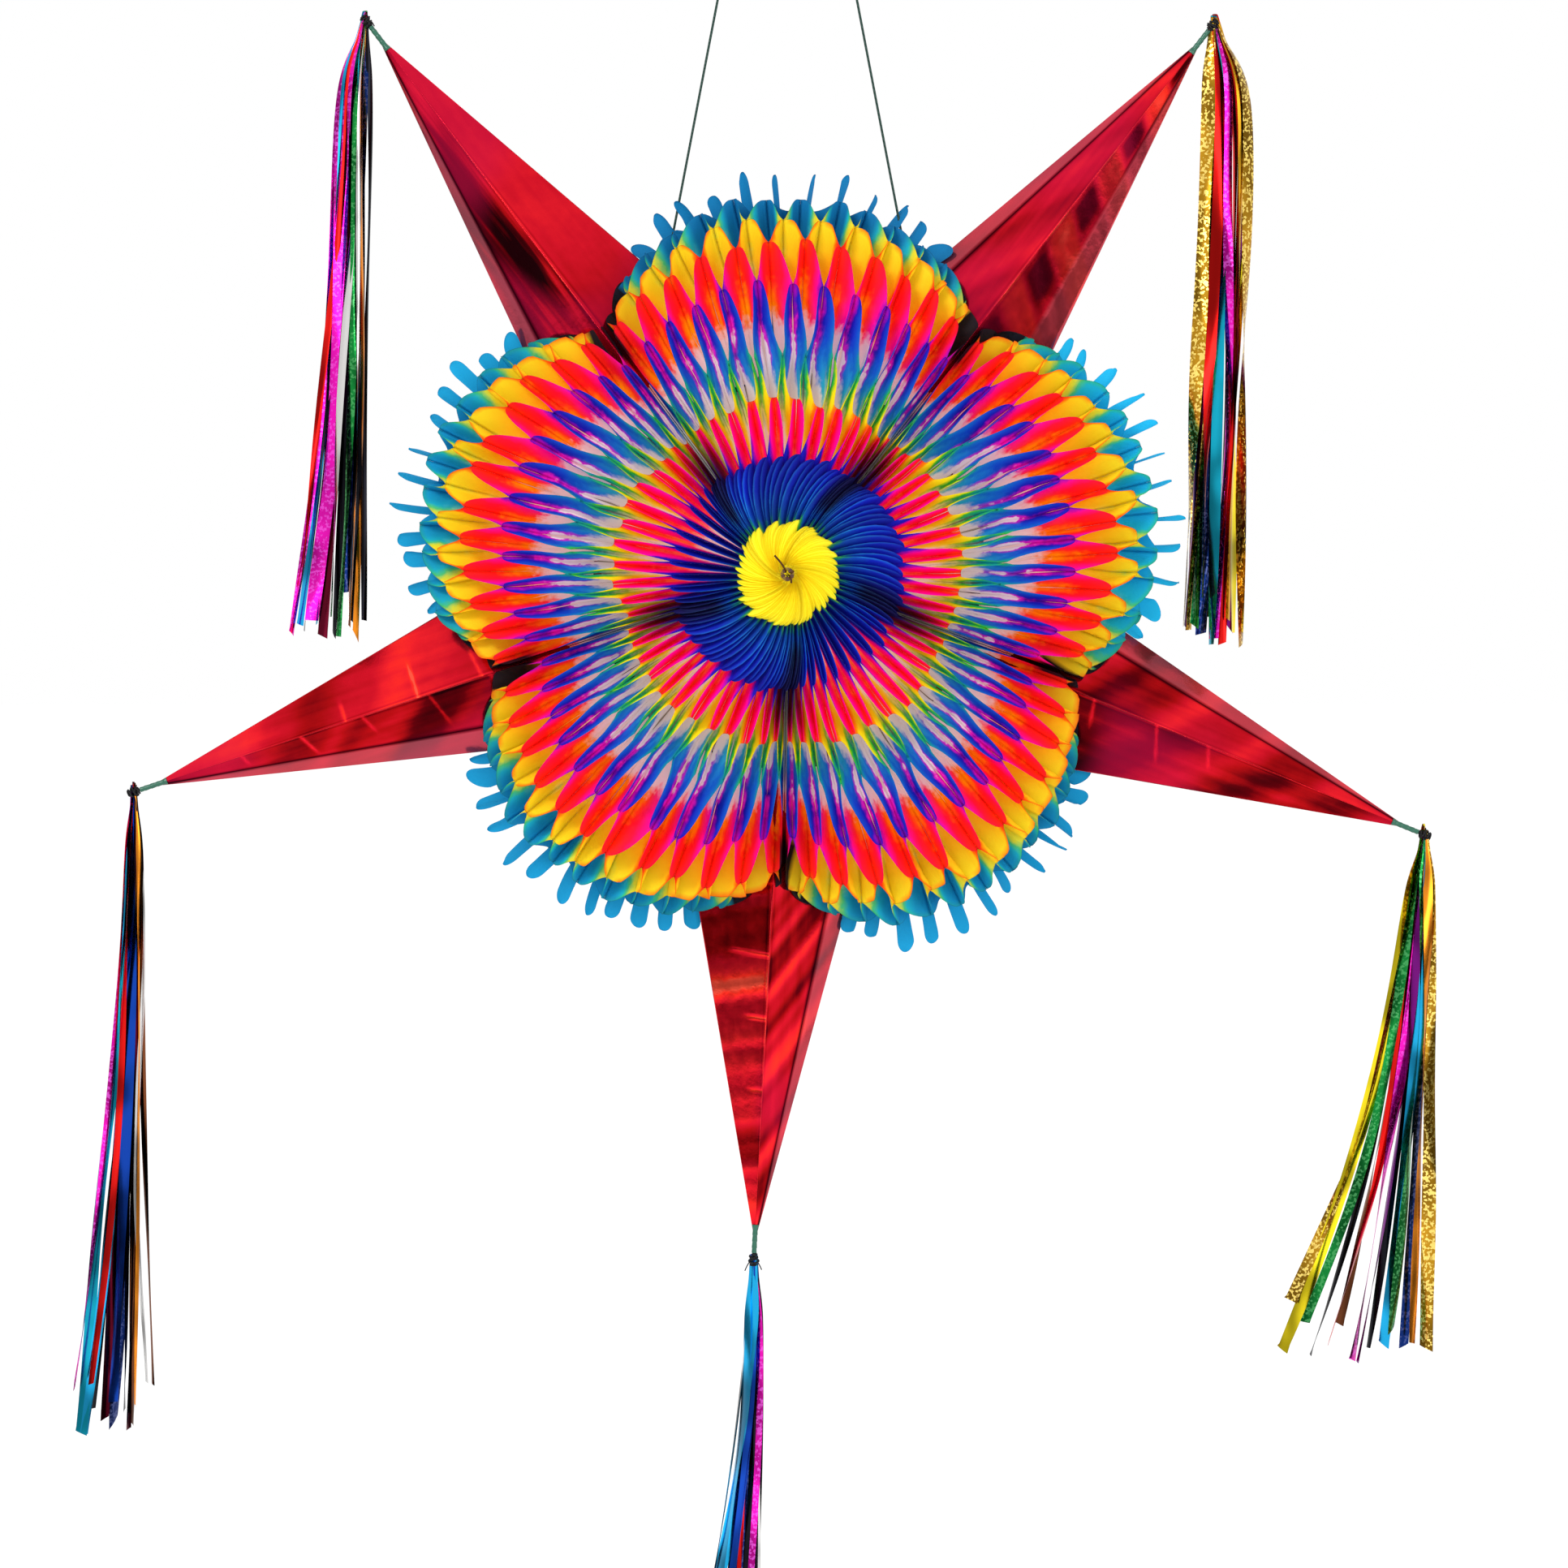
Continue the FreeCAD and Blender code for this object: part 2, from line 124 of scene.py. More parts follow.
class Builder:
    """Collects vertices, faces, material numbers and point attributes for one mesh."""

    def __init__(self):
        self.points, self.faces, self.materials, self.values = [], [], [], {}
        self.count = 0

    def grid(self, points, material=0, closed=False, **values):
        """A grid of points, rows by columns by 3; closed joins the last column to the first."""
        rows, columns = points.shape[:2]
        number = np.arange(rows * columns).reshape(rows, columns) + self.count
        if closed:
            number = np.hstack([number, number[:, :1]])
        corners = [number[:-1, :-1], number[:-1, 1:], number[1:, 1:], number[1:, :-1]]
        self.faces.append(np.stack(corners, axis=-1).reshape(-1, 4))
        self.materials.append(np.full(len(self.faces[-1]), material))
        self.points.append(points.reshape(-1, 3))
        for key, value in values.items():
            whole = np.broadcast_to(value, (rows, columns)).reshape(-1)
            self.values.setdefault(key, []).append(whole)
        self.count += rows * columns

    def build(self, name, materials, body, node, slot):
        """The mesh object, in metres, riding a body in place of a CAD node."""
        mesh = bpy.data.meshes.new(name)
        points = np.concatenate(self.points) * MM
        faces = np.concatenate(self.faces)
        mesh.from_pydata(points.tolist(), [], faces.tolist())
        mesh.polygons.foreach_set("material_index", np.concatenate(self.materials))
        mesh.polygons.foreach_set("use_smooth", np.full(len(faces), True))
        for key, parts in self.values.items():
            layer = mesh.attributes.new(key, "FLOAT", "POINT")
            layer.data.foreach_set("value", np.concatenate(parts).astype(np.float32))
        for material in materials:
            mesh.materials.append(material)
        mesh.validate()
        mesh.update()
        item = new_object(name, mesh)
        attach(item, body)
        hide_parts(node)
        return item


# ---- materials

def new_material(name):
    """A node material with nothing in it yet, and its node tree."""
    material = bpy.data.materials.new(name)
    material.use_nodes = True
    material.node_tree.nodes.clear()
    return material, material.node_tree


def find_socket(made, key):
    """An input by its name, or by its number when written _0, _1 and so on."""
    if key[1:].isdigit():
        return made.inputs[int(key[1:])]
    return made.inputs[key.replace("_", " ")]


def node(tree, kind, settings=None, **inputs):
    """A node with its settings and inputs; an input is a value or another node's output."""
    made = tree.nodes.new("ShaderNode" + kind)
    for key, value in (settings or {}).items():
        setattr(made, key, value)
    for key, value in inputs.items():
        socket = find_socket(made, key)
        if isinstance(value, bpy.types.NodeSocket):
            tree.links.new(value, socket)
        else:
            socket.default_value = value
    return made


def coated(material, kind="BsdfPrincipled", **inputs):
    """The material with its output fed by a shader of some kind."""
    tree = material.node_tree
    shader = node(tree, kind, **inputs).outputs[0]
    node(tree, "OutputMaterial", Surface=shader)
    return material


def maths(tree, operation, first, second=0.0, clamp=False):
    """Result of one sum."""
    settings = {"operation": operation, "use_clamp": clamp}
    return node(tree, "Math", settings, _0=first, _1=second).outputs[0]


def add(tree, *terms):
    """Sum of several values."""
    total = terms[0]
    for term in terms[1:]:
        total = maths(tree, "ADD", total, term)
    return total


def times(tree, first, second):
    """Product of two values."""
    return maths(tree, "MULTIPLY", first, second)


def centred(tree, value):
    """A value from 0 to 1, moved to between -0.5 and 0.5."""
    return maths(tree, "SUBTRACT", value, 0.5)


def ramp(tree, factor, stops):
    """Colour ramp; each stop is a place from 0 to 1 and a colour."""
    made = node(tree, "ValToRGB", Fac=factor)
    band = made.color_ramp
    while len(band.elements) > 1:
        band.elements.remove(band.elements[-1])
    for number, (place, colour) in enumerate(stops):
        stop = band.elements[0] if number == 0 else band.elements.new(place)
        stop.position = place
        stop.color = (*colour, 1.0) if len(colour) == 3 else colour
    return made


def mix(tree, factor, first, second):
    """Colour between two colours."""
    made = node(tree, "Mix", {"data_type": "RGBA"})
    for number, value in ((0, factor), (6, first), (7, second)):
        if isinstance(value, bpy.types.NodeSocket):
            tree.links.new(value, made.inputs[number])
        else:
            made.inputs[number].default_value = value if number == 0 else (*value, 1.0)
    return made.outputs[2]


def attribute(tree, name):
    """Value of a point attribute."""
    return node(tree, "Attribute", {"attribute_name": name}).outputs["Fac"]


def own_place(tree):
    """Places in the piece's own space, in metres."""
    return node(tree, "TexCoord").outputs["Object"]


def noise(tree, scale, detail=2.0, stretch=None, where=None):
    """Noise over the piece's own place, in features per metre."""
    where = where or own_place(tree)
    if stretch:
        where = node(tree, "Mapping", Vector=where, Scale=stretch).outputs[0]
    return node(tree, "TexNoise", Vector=where, Scale=scale, Detail=detail).outputs["Fac"]


def bump(tree, height, distance, strength=1.0):
    """Surface relief."""
    return node(tree, "Bump", Height=height, Distance=distance, Strength=strength).outputs[0]


def smooth_factor(tree, value, low, high):
    """0 below low to 1 above high."""
    made = node(tree, "MapRange", {"interpolation_type": "SMOOTHSTEP"}, Value=value)
    made.inputs["From Min"].default_value = low
    made.inputs["From Max"].default_value = high
    return made.outputs[0]


def darker(colour, share):
    """A colour times a share."""
    return tuple(part * share for part in colour)


# the dye near a leaf's cut edge, by ring: (ring, colour)
DYE = [
    (0.00, (1.0, 0.94, 0.04)), (0.96, (1.0, 0.94, 0.04)), (1.01, (0.06, 0.50, 0.02)),
    (1.07, (0.01, 0.32, 0.14)), (1.14, (0.005, 0.11, 0.54)), (1.45, (0.003, 0.020, 0.58)),
    (2.12, (0.01, 0.005, 0.52)), (2.22, (0.45, 0.0, 0.50)), (2.36, (1.0, 0.0, 0.42)),
    (2.74, (1.0, 0.0, 0.28)), (2.96, (1.0, 0.010, 0.02)), (3.28, (1.0, 0.30, 0.0)),
    (3.44, (1.0, 0.80, 0.01)), (3.74, (1.0, 0.82, 0.01)), (3.88, (0.04, 0.52, 0.03)),
    (4.02, (0.005, 0.32, 0.30)), (4.20, (0.005, 0.16, 0.55)), (4.55, (0.005, 0.07, 0.60)),
    (4.86, (0.01, 0.01, 0.52)), (4.98, (0.34, 0.0, 0.50)), (5.06, (0.55, 0.0, 0.46)),
    (5.18, (1.0, 0.0, 0.30)), (5.52, (1.0, 0.005, 0.05)), (6.02, (1.0, 0.02, 0.0)),
    (6.14, (1.0, 0.22, 0.0)), (6.30, (1.0, 0.68, 0.01)), (6.98, (1.0, 0.76, 0.015)),
    (7.12, (0.75, 0.78, 0.05)), (7.26, (0.08, 0.60, 0.22)), (7.42, (0.01, 0.50, 0.66)),
    (8.05, (0.012, 0.47, 0.80)),
]
# the paler dye further in
INNER_DYE = [
    (0.00, (1.0, 0.92, 0.03)), (0.97, (1.0, 0.92, 0.03)), (1.06, (0.01, 0.36, 0.14)),
    (1.16, (0.010, 0.24, 0.76)), (1.45, (0.006, 0.08, 0.66)), (2.05, (0.05, 0.01, 0.52)),
    (2.30, (0.85, 0.0, 0.50)), (2.80, (1.0, 0.01, 0.30)), (3.10, (1.0, 0.38, 0.02)),
    (3.36, (1.0, 0.82, 0.03)), (3.75, (1.0, 0.80, 0.06)), (3.98, (0.85, 0.74, 0.25)),
    (4.20, (0.03, 0.44, 0.60)), (4.76, (0.01, 0.20, 0.76)), (4.90, (0.70, 0.02, 0.62)),
    (5.20, (1.0, 0.0, 0.40)), (5.70, (1.0, 0.05, 0.02)), (5.95, (1.0, 0.34, 0.0)),
    (6.30, (1.0, 0.62, 0.0)), (7.00, (0.98, 0.78, 0.06)),
    (7.30, (0.35, 0.70, 0.35)), (7.60, (0.02, 0.56, 0.80)),
]
# painted shade, with random tone: leaves at the pole darkened one by one, for the shade lines
# between them
POLE_TONE_AND_SHADE = ((0.92, 0.72, 0.01), (0.002, 0.006, 0.16))  # the darker leaves at the pole
RINGS_SHOWN = 9.2
# how far the dye soaks in from the cut edge, in millimetres, by ring
SOAK = [(0.0, 60), (1.0, 55), (2.0, 52), (2.8, 48), (3.3, 44), (3.95, 39), (4.15, 39), (4.4, 43),
        (4.65, 48), (4.85, 52), (5.0, 27), (5.2, 32), (5.5, 44), (6.9, 46), (7.2, 26), (9.0, 44)]
SOAK_UNIT = 80.0
UNDYED = (0.90, 0.78, 0.76)
PAINTED_GLOW = 0.23  # painted glow: emission for light the cells gather through their paper, deep inside
RIM = 3.6
CUT_WIDTH = 0.45  # dark line at the cut edge: dye gathered there, and painted shade between leaves
# near black of the dye along the cut line, and of the painted shade on the end leaves and seams
DARK_DYE_AND_SHADE = (0.008, 0.004, 0.012)
OUTER_SHADE = (0.004, 0.19, 0.44)  # the darker fans' outer blue
LIGHT_THROUGH = 0.40  # how much of its light the paper lets through
# colour of the last few millimetres to the cut edge, with how strong it is
EDGE_DYE_AND_HIGHLIGHT = [
    # painted highlight: the lighter blue along the leaves' edges near the pole, to ring 1.95; the
    # other stops are dye
    (1.12, (0.02, 0.36, 0.86, 0.0)), (1.22, (0.02, 0.36, 0.86, 0.75)),
    (1.55, (0.012, 0.20, 0.80, 0.55)), (1.95, (0.01, 0.10, 0.70, 0.0)),
    (2.7, (0.6, 0.0, 0.02, 0.0)), (2.9, (0.7, 0.0, 0.02, 0.6)), (3.1, (0.7, 0.0, 0.0, 0.0)),
    (4.6, (0.02, 0.0, 0.42, 0.0)), (4.75, (0.02, 0.0, 0.45, 0.95)), (5.0, (0.02, 0.0, 0.45, 0.7)),
    (5.12, (0.75, 0.0, 0.08, 0.0)), (5.7, (0.75, 0.0, 0.03, 0.6)), (6.08, (0.9, 0.02, 0.0, 0.6)),
    (6.3, (1.0, 0.05, 0.0, 0.95)), (6.8, (1.0, 0.09, 0.0, 0.8)), (7.0, (1.0, 0.3, 0.0, 0.0)),
    (7.3, (0.03, 0.5, 0.06, 0.6)), (7.9, (0.03, 0.5, 0.08, 0.7)), (8.2, (0.02, 0.3, 0.2, 0.0)),
]


def by_ring(stops):
    """The stops of a table by ring, from 0 to 1."""
    return [(ring / RINGS_SHOWN, value) for ring, value in stops]


def by_edge(tree, edge, width):
    """1 at a leaf's cut edge, falling to 0 at some millimetres from it."""
    return maths(tree, "SUBTRACT", 1.0, maths(tree, "DIVIDE", edge, width, clamp=True))


def tissue_colour(tree):
    """Tie dye in rings: strong by the cut edge, paler further in, undyed in the depths; with
    painted highlights, painted shade and a painted glow.
    """
    ring, edge = attribute(tree, "ring"), attribute(tree, "edge")
    wander = centred(tree, noise(tree, 60.0, 3.0))
    fine = centred(tree, noise(tree, 260.0))
    amount = add(tree, times(tree, smooth_factor(tree, ring, 1.0, 2.5), 0.46), 0.12)
    moved = add(tree, ring, times(tree, wander, amount), times(tree, fine, 0.12))
    place = maths(tree, "DIVIDE", moved, RINGS_SHOWN)
    dye = ramp(tree, place, by_ring(DYE)).outputs[0]
    inner = ramp(tree, place, by_ring(INNER_DYE)).outputs[0]
    soak = ramp(tree, place, by_ring([(at, (mm / SOAK_UNIT,) * 3) for at, mm in SOAK])).outputs[0]
    ragged = add(tree, edge, times(tree, add(tree, wander, fine), 16.0))
    depth = maths(tree, "DIVIDE", ragged, times(tree, soak, SOAK_UNIT))
    body = mix(tree, smooth_factor(tree, depth, 0.38, 0.85), dye, inner)
    body = mix(tree, smooth_factor(tree, depth, 0.90, 1.15), body, UNDYED)
    # edge colour: dye, with a painted highlight on the blue leaves near the pole
    tint = ramp(tree, place, by_ring(EDGE_DYE_AND_HIGHLIGHT))
    rim = times(tree, by_edge(tree, edge, RIM), tint.outputs[1])
    body = mix(tree, rim, body, tint.outputs[0])
    # painted shade, with random tone: the pole's leaves darkened one by one
    central = maths(tree, "SUBTRACT", 1.0, smooth_factor(tree, ring, 1.9, 2.0))
    deep = mix(tree, smooth_factor(tree, ring, 0.95, 1.05), *POLE_TONE_AND_SHADE)
    central = times(tree, central, attribute(tree, "shade"))
    body = mix(tree, times(tree, central, 0.6), body, deep)
    outer = smooth_factor(tree, ring, 7.3, 7.7)
    body = mix(tree, times(tree, outer, attribute(tree, "shade")), body, OUTER_SHADE)
    # dark cut line, dye with painted shade, and the painted shade of the end leaves and seams
    cut = times(tree, by_edge(tree, edge, CUT_WIDTH), 0.5)
    dark = maths(tree, "MAXIMUM", cut, attribute(tree, "ink"))
    # painted glow: emission, strongest at the pole and deep in the cells where the dye fades
    pole = maths(tree, "SUBTRACT", 0.45, smooth_factor(tree, ring, 0.9, 1.1))
    painted_glow = maths(tree, "MAXIMUM", smooth_factor(tree, depth, 0.25, 1.1), pole)
    painted_glow = times(tree, painted_glow, PAINTED_GLOW)
    return mix(tree, dark, body, DARK_DYE_AND_SHADE), painted_glow


def tissue_material():
    """Tie-dyed tissue paper, crinkled and a little translucent, with a painted glow."""
    material, tree = new_material("tie_dyed_tissue")
    colour, painted_glow = tissue_colour(tree)
    relief = bump(tree, noise(tree, 900.0), 0.0004, 0.35)
    paper = node(tree, "BsdfPrincipled", Base_Color=colour, Roughness=0.70, Normal=relief,
                 Emission_Color=colour, Emission_Strength=painted_glow, Specular_IOR_Level=0.2)
    through = node(tree, "BsdfTranslucent", Color=colour, Normal=relief)
    return coated(material, "MixShader", _0=LIGHT_THROUGH, _1=paper.outputs[0],
                  _2=through.outputs[0])


# painted reflection: base colours for what the red film mirrors, from a dark room to a lamp
PAINTED_FOIL_REFLECTION = [
    (0.00, (0.010, 0.0, 0.001)), (0.22, (0.09, 0.0, 0.002)), (0.42, (0.36, 0.003, 0.005)),
    (0.60, (0.58, 0.006, 0.018)), (0.74, (0.80, 0.014, 0.022)), (0.90, (1.0, 0.030, 0.016)),
    (1.00, (1.0, 0.090, 0.050)),
]
CRIMSON = (0.50, 0.006, 0.055)
OVERLAP_TINT = (0.42, 0.10, 0.13)
SEAM_LINE = (0.01, 0.0, 0.002)
STREAK_STRETCH = (7.0, 95.0, 1.0)


def red_foil_material():
    """Red mirror film over card; bands and streaks of dark and bright are painted reflection."""
    material, tree = new_material("red_mirror_foil")
    side = attribute(tree, "side")
    bands = node(tree, "CombineXYZ", X=attribute(tree, "band"), Y=side, Z=0.0).outputs[0]
    lines = node(tree, "CombineXYZ", X=attribute(tree, "reach"), Y=attribute(tree, "across"),
                 Z=side).outputs[0]
    band = times(tree, centred(tree, noise(tree, 1.0, 1.0, None, bands)), 1.7)
    streak = times(tree, centred(tree, noise(tree, 1.0, 3.0, STREAK_STRETCH, lines)), 1.6)
    crinkle = noise(tree, 130.0, 3.0)
    # painted reflection: the cone's tone with its bands, streaks and crinkle
    tone = add(tree, attribute(tree, "tone"), times(tree, band, attribute(tree, "swing")),
               times(tree, streak, attribute(tree, "streaks")),
               times(tree, centred(tree, crinkle), 0.10))
    colour = ramp(tree, tone, PAINTED_FOIL_REFLECTION).outputs[0]
    patches = smooth_factor(tree, noise(tree, 9.0, 1.0), 0.44, 0.60)
    colour = mix(tree, times(tree, patches, 0.40), colour, CRIMSON)
    colour = mix(tree, times(tree, attribute(tree, "strip"), 0.42), colour, OVERLAP_TINT)
    colour = mix(tree, attribute(tree, "seam"), colour, SEAM_LINE)
    rough = add(tree, times(tree, crinkle, 0.16), 0.10)
    relief = bump(tree, add(tree, band, times(tree, crinkle, 0.15)), 0.002, 0.5)
    return coated(material, Base_Color=colour, Metallic=0.80, Roughness=rough, Normal=relief,
                  Specular_IOR_Level=0.0)


def strip_material(name, colour, glitter=0.0):
    """Film strip of a tassel; glitter adds a fine pattern of bright specks."""
    material, tree = new_material("strip_" + name)
    wave = noise(tree, 34.0, 2.0, (1.0, 1.0, 0.5))
    tone = mix(tree, smooth_factor(tree, wave, 0.40, 0.62), colour, darker(colour, 0.32))
    height = wave
    if glitter:
        cells = node(tree, "TexVoronoi", Vector=own_place(tree), Scale=750.0).outputs["Color"]
        chance = node(tree, "SeparateColor", Color=cells).outputs[0]
        speck = smooth_factor(tree, chance, 0.60, 0.76)
        bright = tuple(min(1.0, part * 2.4 + 0.15) for part in colour)
        tone = mix(tree, times(tree, speck, glitter), tone, bright)
        height = add(tree, wave, times(tree, speck, 0.4))
    return coated(material, Base_Color=tone, Metallic=1.0, Roughness=0.20,
                  Normal=bump(tree, height, 0.001, 0.5))


def thread_material(name, colour, pale):
    """Twisted thread or cord."""
    material, tree = new_material(name)
    settings = {"wave_type": "BANDS", "bands_direction": "DIAGONAL"}
    twist = node(tree, "TexWave", settings, Vector=own_place(tree), Scale=240.0,
                 Distortion=1.5).outputs["Fac"]
    tone = mix(tree, twist, colour, pale)
    return coated(material, Base_Color=tone, Roughness=0.7, Specular_IOR_Level=0.2,
                  Normal=bump(tree, twist, 0.0003, 0.6))


def card_material(name, colour, dark):
    """Grey-board or white card with fibres."""
    material, tree = new_material(name)
    fibre = noise(tree, 700.0, 3.0, (1.0, 1.0, 3.0))
    tone = mix(tree, noise(tree, 30.0, 4.0), colour, dark)
    tone = mix(tree, times(tree, smooth_factor(tree, fibre, 0.55, 0.75), 0.35), tone, dark)
    return coated(material, Base_Color=tone, Roughness=0.86,
                  Normal=bump(tree, fibre, 0.0003, 0.4))


def metal_material(name, colour, roughness):
    """Drawn wire with fine scratches."""
    material, tree = new_material(name)
    scratch = noise(tree, 900.0, 3.0, (1.0, 0.2, 1.0))
    tone = mix(tree, scratch, colour, darker(colour, 0.6))
    rough = add(tree, times(tree, scratch, 0.2), roughness - 0.1)
    return coated(material, Base_Color=tone, Metallic=1.0, Roughness=rough,
                  Normal=bump(tree, scratch, 0.0002, 0.3))


def tape_material(name, colour, gloss, cover=1.0):
    """Plastic tape with faint stretch lines; cover is how much it hides what is under it."""
    material, tree = new_material(name)
    lines = noise(tree, 300.0, 3.0, (1.0, 1.0, 6.0))
    tone = mix(tree, lines, colour, darker(colour, 0.5))
    return coated(material, Base_Color=tone, Roughness=gloss, Alpha=cover,
                  Normal=bump(tree, lines, 0.0003, 0.5))


STRING = thread_material("green_string", (0.008, 0.030, 0.022), (0.03, 0.06, 0.05))
TIE_THREAD = thread_material("black_thread", (0.002, 0.002, 0.003), (0.012, 0.012, 0.014))
TISSUE = tissue_material()
RED_FOIL = red_foil_material()
GREEN_TAPE = tape_material("green_tape_film", (0.01, 0.12, 0.07), 0.3)
CLEAR_TAPE = tape_material("clear_tape_film", (0.75, 0.72, 0.62), 0.2, 0.45)
# the white card is given grey: painted shade for the seams where it shows between the fans
SHADED_WHITE_CARD = card_material("white_card", (0.72, 0.71, 0.69), (0.52, 0.50, 0.48))
GREY_CARD = card_material("grey_board", (0.36, 0.30, 0.23), (0.24, 0.19, 0.14))
HANGER_WIRE = metal_material("steel_wire", (0.62, 0.62, 0.60), 0.32)
TIE_WIRE = metal_material("rusty_wire", (0.10, 0.045, 0.02), 0.5)


# ---- camera and strings

SENSOR = 36.0
LENS = 100.0
# in metres
CAMERA_AWAY = 2.68
CAMERA_ASIDE = -0.002
AIM_DROP = 0.129


def aimed(item, place, aim):
    """Puts an object at a place, its -Z towards the aim."""
    item.location = place
    item.rotation_mode = "QUATERNION"
    item.rotation_quaternion = (Vector(aim) - Vector(place)).to_track_quat("-Z", "Y")


def add_camera():
    """Front view, as level as the star's own middle, aimed a little below it."""
    data = bpy.data.cameras.new("camera")
    data.sensor_width = SENSOR
    data.lens = LENS
    camera = new_object("camera", data)
    middle = CENTRE[2] * MM
    aimed(camera, (CAMERA_ASIDE, -CAMERA_AWAY, middle), (CAMERA_ASIDE, 0.0, middle - AIM_DROP))
    bpy.context.scene.camera = camera


STRING_WIDTH = 1.5


def taut_line(name, bottom, top, half):
    """Straight round line as an open curve."""
    curve = bpy.data.curves.new(name, "CURVE")
    curve.dimensions = "3D"
    curve.bevel_depth = half
    curve.bevel_resolution = 4
    curve.use_fill_caps = True
    spline = curve.splines.new("NURBS")
    spline.points.add(2)
    for point, place in zip(spline.points, (bottom, (bottom + top) / 2, top)):
        point.co = (*place, 1.0)
    spline.order_u = 3
    spline.use_endpoint_u = True
    return new_object(name, curve)


def add_string(side):
    """A taut string from its knot inside the cone up to its loop on the hanger's bar."""
    low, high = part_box("hanging_string_" + side)
    outward = -1 if side == "left" else 1
    half = STRING_WIDTH * MM / 2
    inner_x, outer_x = sorted((low.x + half, high.x - half), key=lambda x: outward * x)
    top = Vector((inner_x, 0.0, high.z))
    bottom = Vector((outer_x, 0.0, low.z))
    line = taut_line("string_" + side, bottom, top, half)
    line.data.materials.append(STRING)
    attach(line, "star")
    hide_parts("hanging_string_" + side)


add_camera()
for side in ("left", "right"):
    add_string(side)


# ---- tissue fans

PETALS = 12  # petals of a ring across one fan
LEAVES = 2 * PETALS + 1
LAST_RING = 9  # the middle ring, in the star's own plane
BACK_END = 16.1
FRONT = -135.0  # depth of the leaves' front corner
RING_DEPTH = 15.0
# radius of each ring's petal tips at a lobe's middle, and what share is left at its ends
TIPS = (5.0, 30.0, 70.0, 104.0, 132.0, 175.0, 201.0, 216.0, 230.0, 222.0)
END_SHARE = (1.0, 1.0, 0.97, 0.95, 0.92, 0.90, 0.895, 0.887, 0.887, 0.88)
# roundness of each ring's petals: beside the tip, and towards the neck
OUTLINE = ((2.0, 1.0), (1.2, 1.7), (1.1, 2.0), (1.1, 2.4), (1.7, 1.6), (0.85, 2.1), (0.95, 2.7),
           (0.95, 2.5), (0.85, 2.4), (1.0, 1.8))
NECK_RING = 4  # the ring whose leaves stay narrow before they widen
END_DROP = 2.2  # how late along a lobe its radius falls off
CORE_INNER = 118.0
WELL_INNER = 62.0
POLE_INNER = 4.0
CORE_DEPTH = 59.0
CARD_GAP = 1.5
CARD_FRONT = ((6, 70, 132, 180), (98, 88, 54, 8))  # the cards' outline: radius, depth
SEAM_GAP = 0.25  # in front of the cards
FACE_GAP = 1.2
ROUNDING = 0.60  # below 1, the cells between leaves are round at their joints
GLUED = 0.998  # how much of the way to its neighbour a leaf is pulled at a joint
NECK_CURVE = 1.6
NOTCH = 0.3  # depth of the nick at a petal's tip
NOTCH_RINGS = 0.07
FRONT_STEP = 0.1  # between a leaf's rows, in rings
BACK_STEP = 0.2
GATHER = 0.09  # how far the rows are gathered at the tips, in rings
TURN_SPREAD = 0.34  # how uneven the joints are, in degrees and in millimetres
SWELL_SPREAD = 1.2
# painted shade: black on the end leaves by the cones, and shadow by the seams near the middle: the
# radii or the shares of the fan where each sets in or ends, and its strength
END_SHADE_RADII = (156, 164)
END_SHADE_SHARE = 0.985
END_SHADE_STRENGTH = 0.995
SHADOW_SHARES = (0.76, 0.97)
SHADOW_START = (36, 46)
SHADOW_END = (74, 104)
SHADOW_STRENGTH = 0.85
# cones, as the CAD has them
CONE_BASE = 98.0
CONE_TIP = 406.0
BASE_HALF = 68.7
TIP_HALF = 1.6
DEPTH_SHARE = 0.8
# each fan: crowd, how far its leaves crowd to its anticlockwise end; lean, the same for their
# front only; splay, how far their front leans out to both ends; curl, their twist near the pole
# in degrees; shade, how dark its outer blue is; turns, its fingers' turn to the front at five
# places from end to end
Shape = namedtuple("Shape", "crowd lean splay curl shade turns")
FAN_SHAPES = {
    "top": Shape(-0.02, -0.12, 0.30, 16, 1.0, (78, 24, 6, 66, 88)),
    "upper_left": Shape(0.03, -0.08, 0.26, -12, 0.45, (88, 52, 22, 44, 86)),
    "lower_left": Shape(-0.03, 0.08, 0.24, 10, 0.6, (84, 56, 46, 70, 62)),
    "lower_right": Shape(0.04, -0.07, 0.24, -8, 0.6, (66, 40, 34, 34, 66)),
    "upper_right": Shape(0.02, 0.10, 0.24, 14, 0.0, (84, 20, 12, 48, 90)),
}
POLE_CURL = 15.0  # twist of every fan near the pole, in degrees
CURL_RINGS = (0.2, 2.3)
TIE_PULL = 5.0  # how far the centre tie pulls the leaves' front corners sideways
TIE_RINGS = (0.12, 1.1)
SPLAY_RINGS = (1.5, 6.5)


def cone_half_width(reach):
    """Half width of a cone at a distance from the star's centre."""
    share = (np.asarray(reach) - CONE_BASE) / (CONE_TIP - CONE_BASE)
    return BASE_HALF + (TIP_HALF - BASE_HALF) * np.clip(share, 0, 1)


def unwrapped(spoke, near):
    """The same spoke, in the turn nearest another."""
    return spoke + 360 * round((near - spoke) / 360)


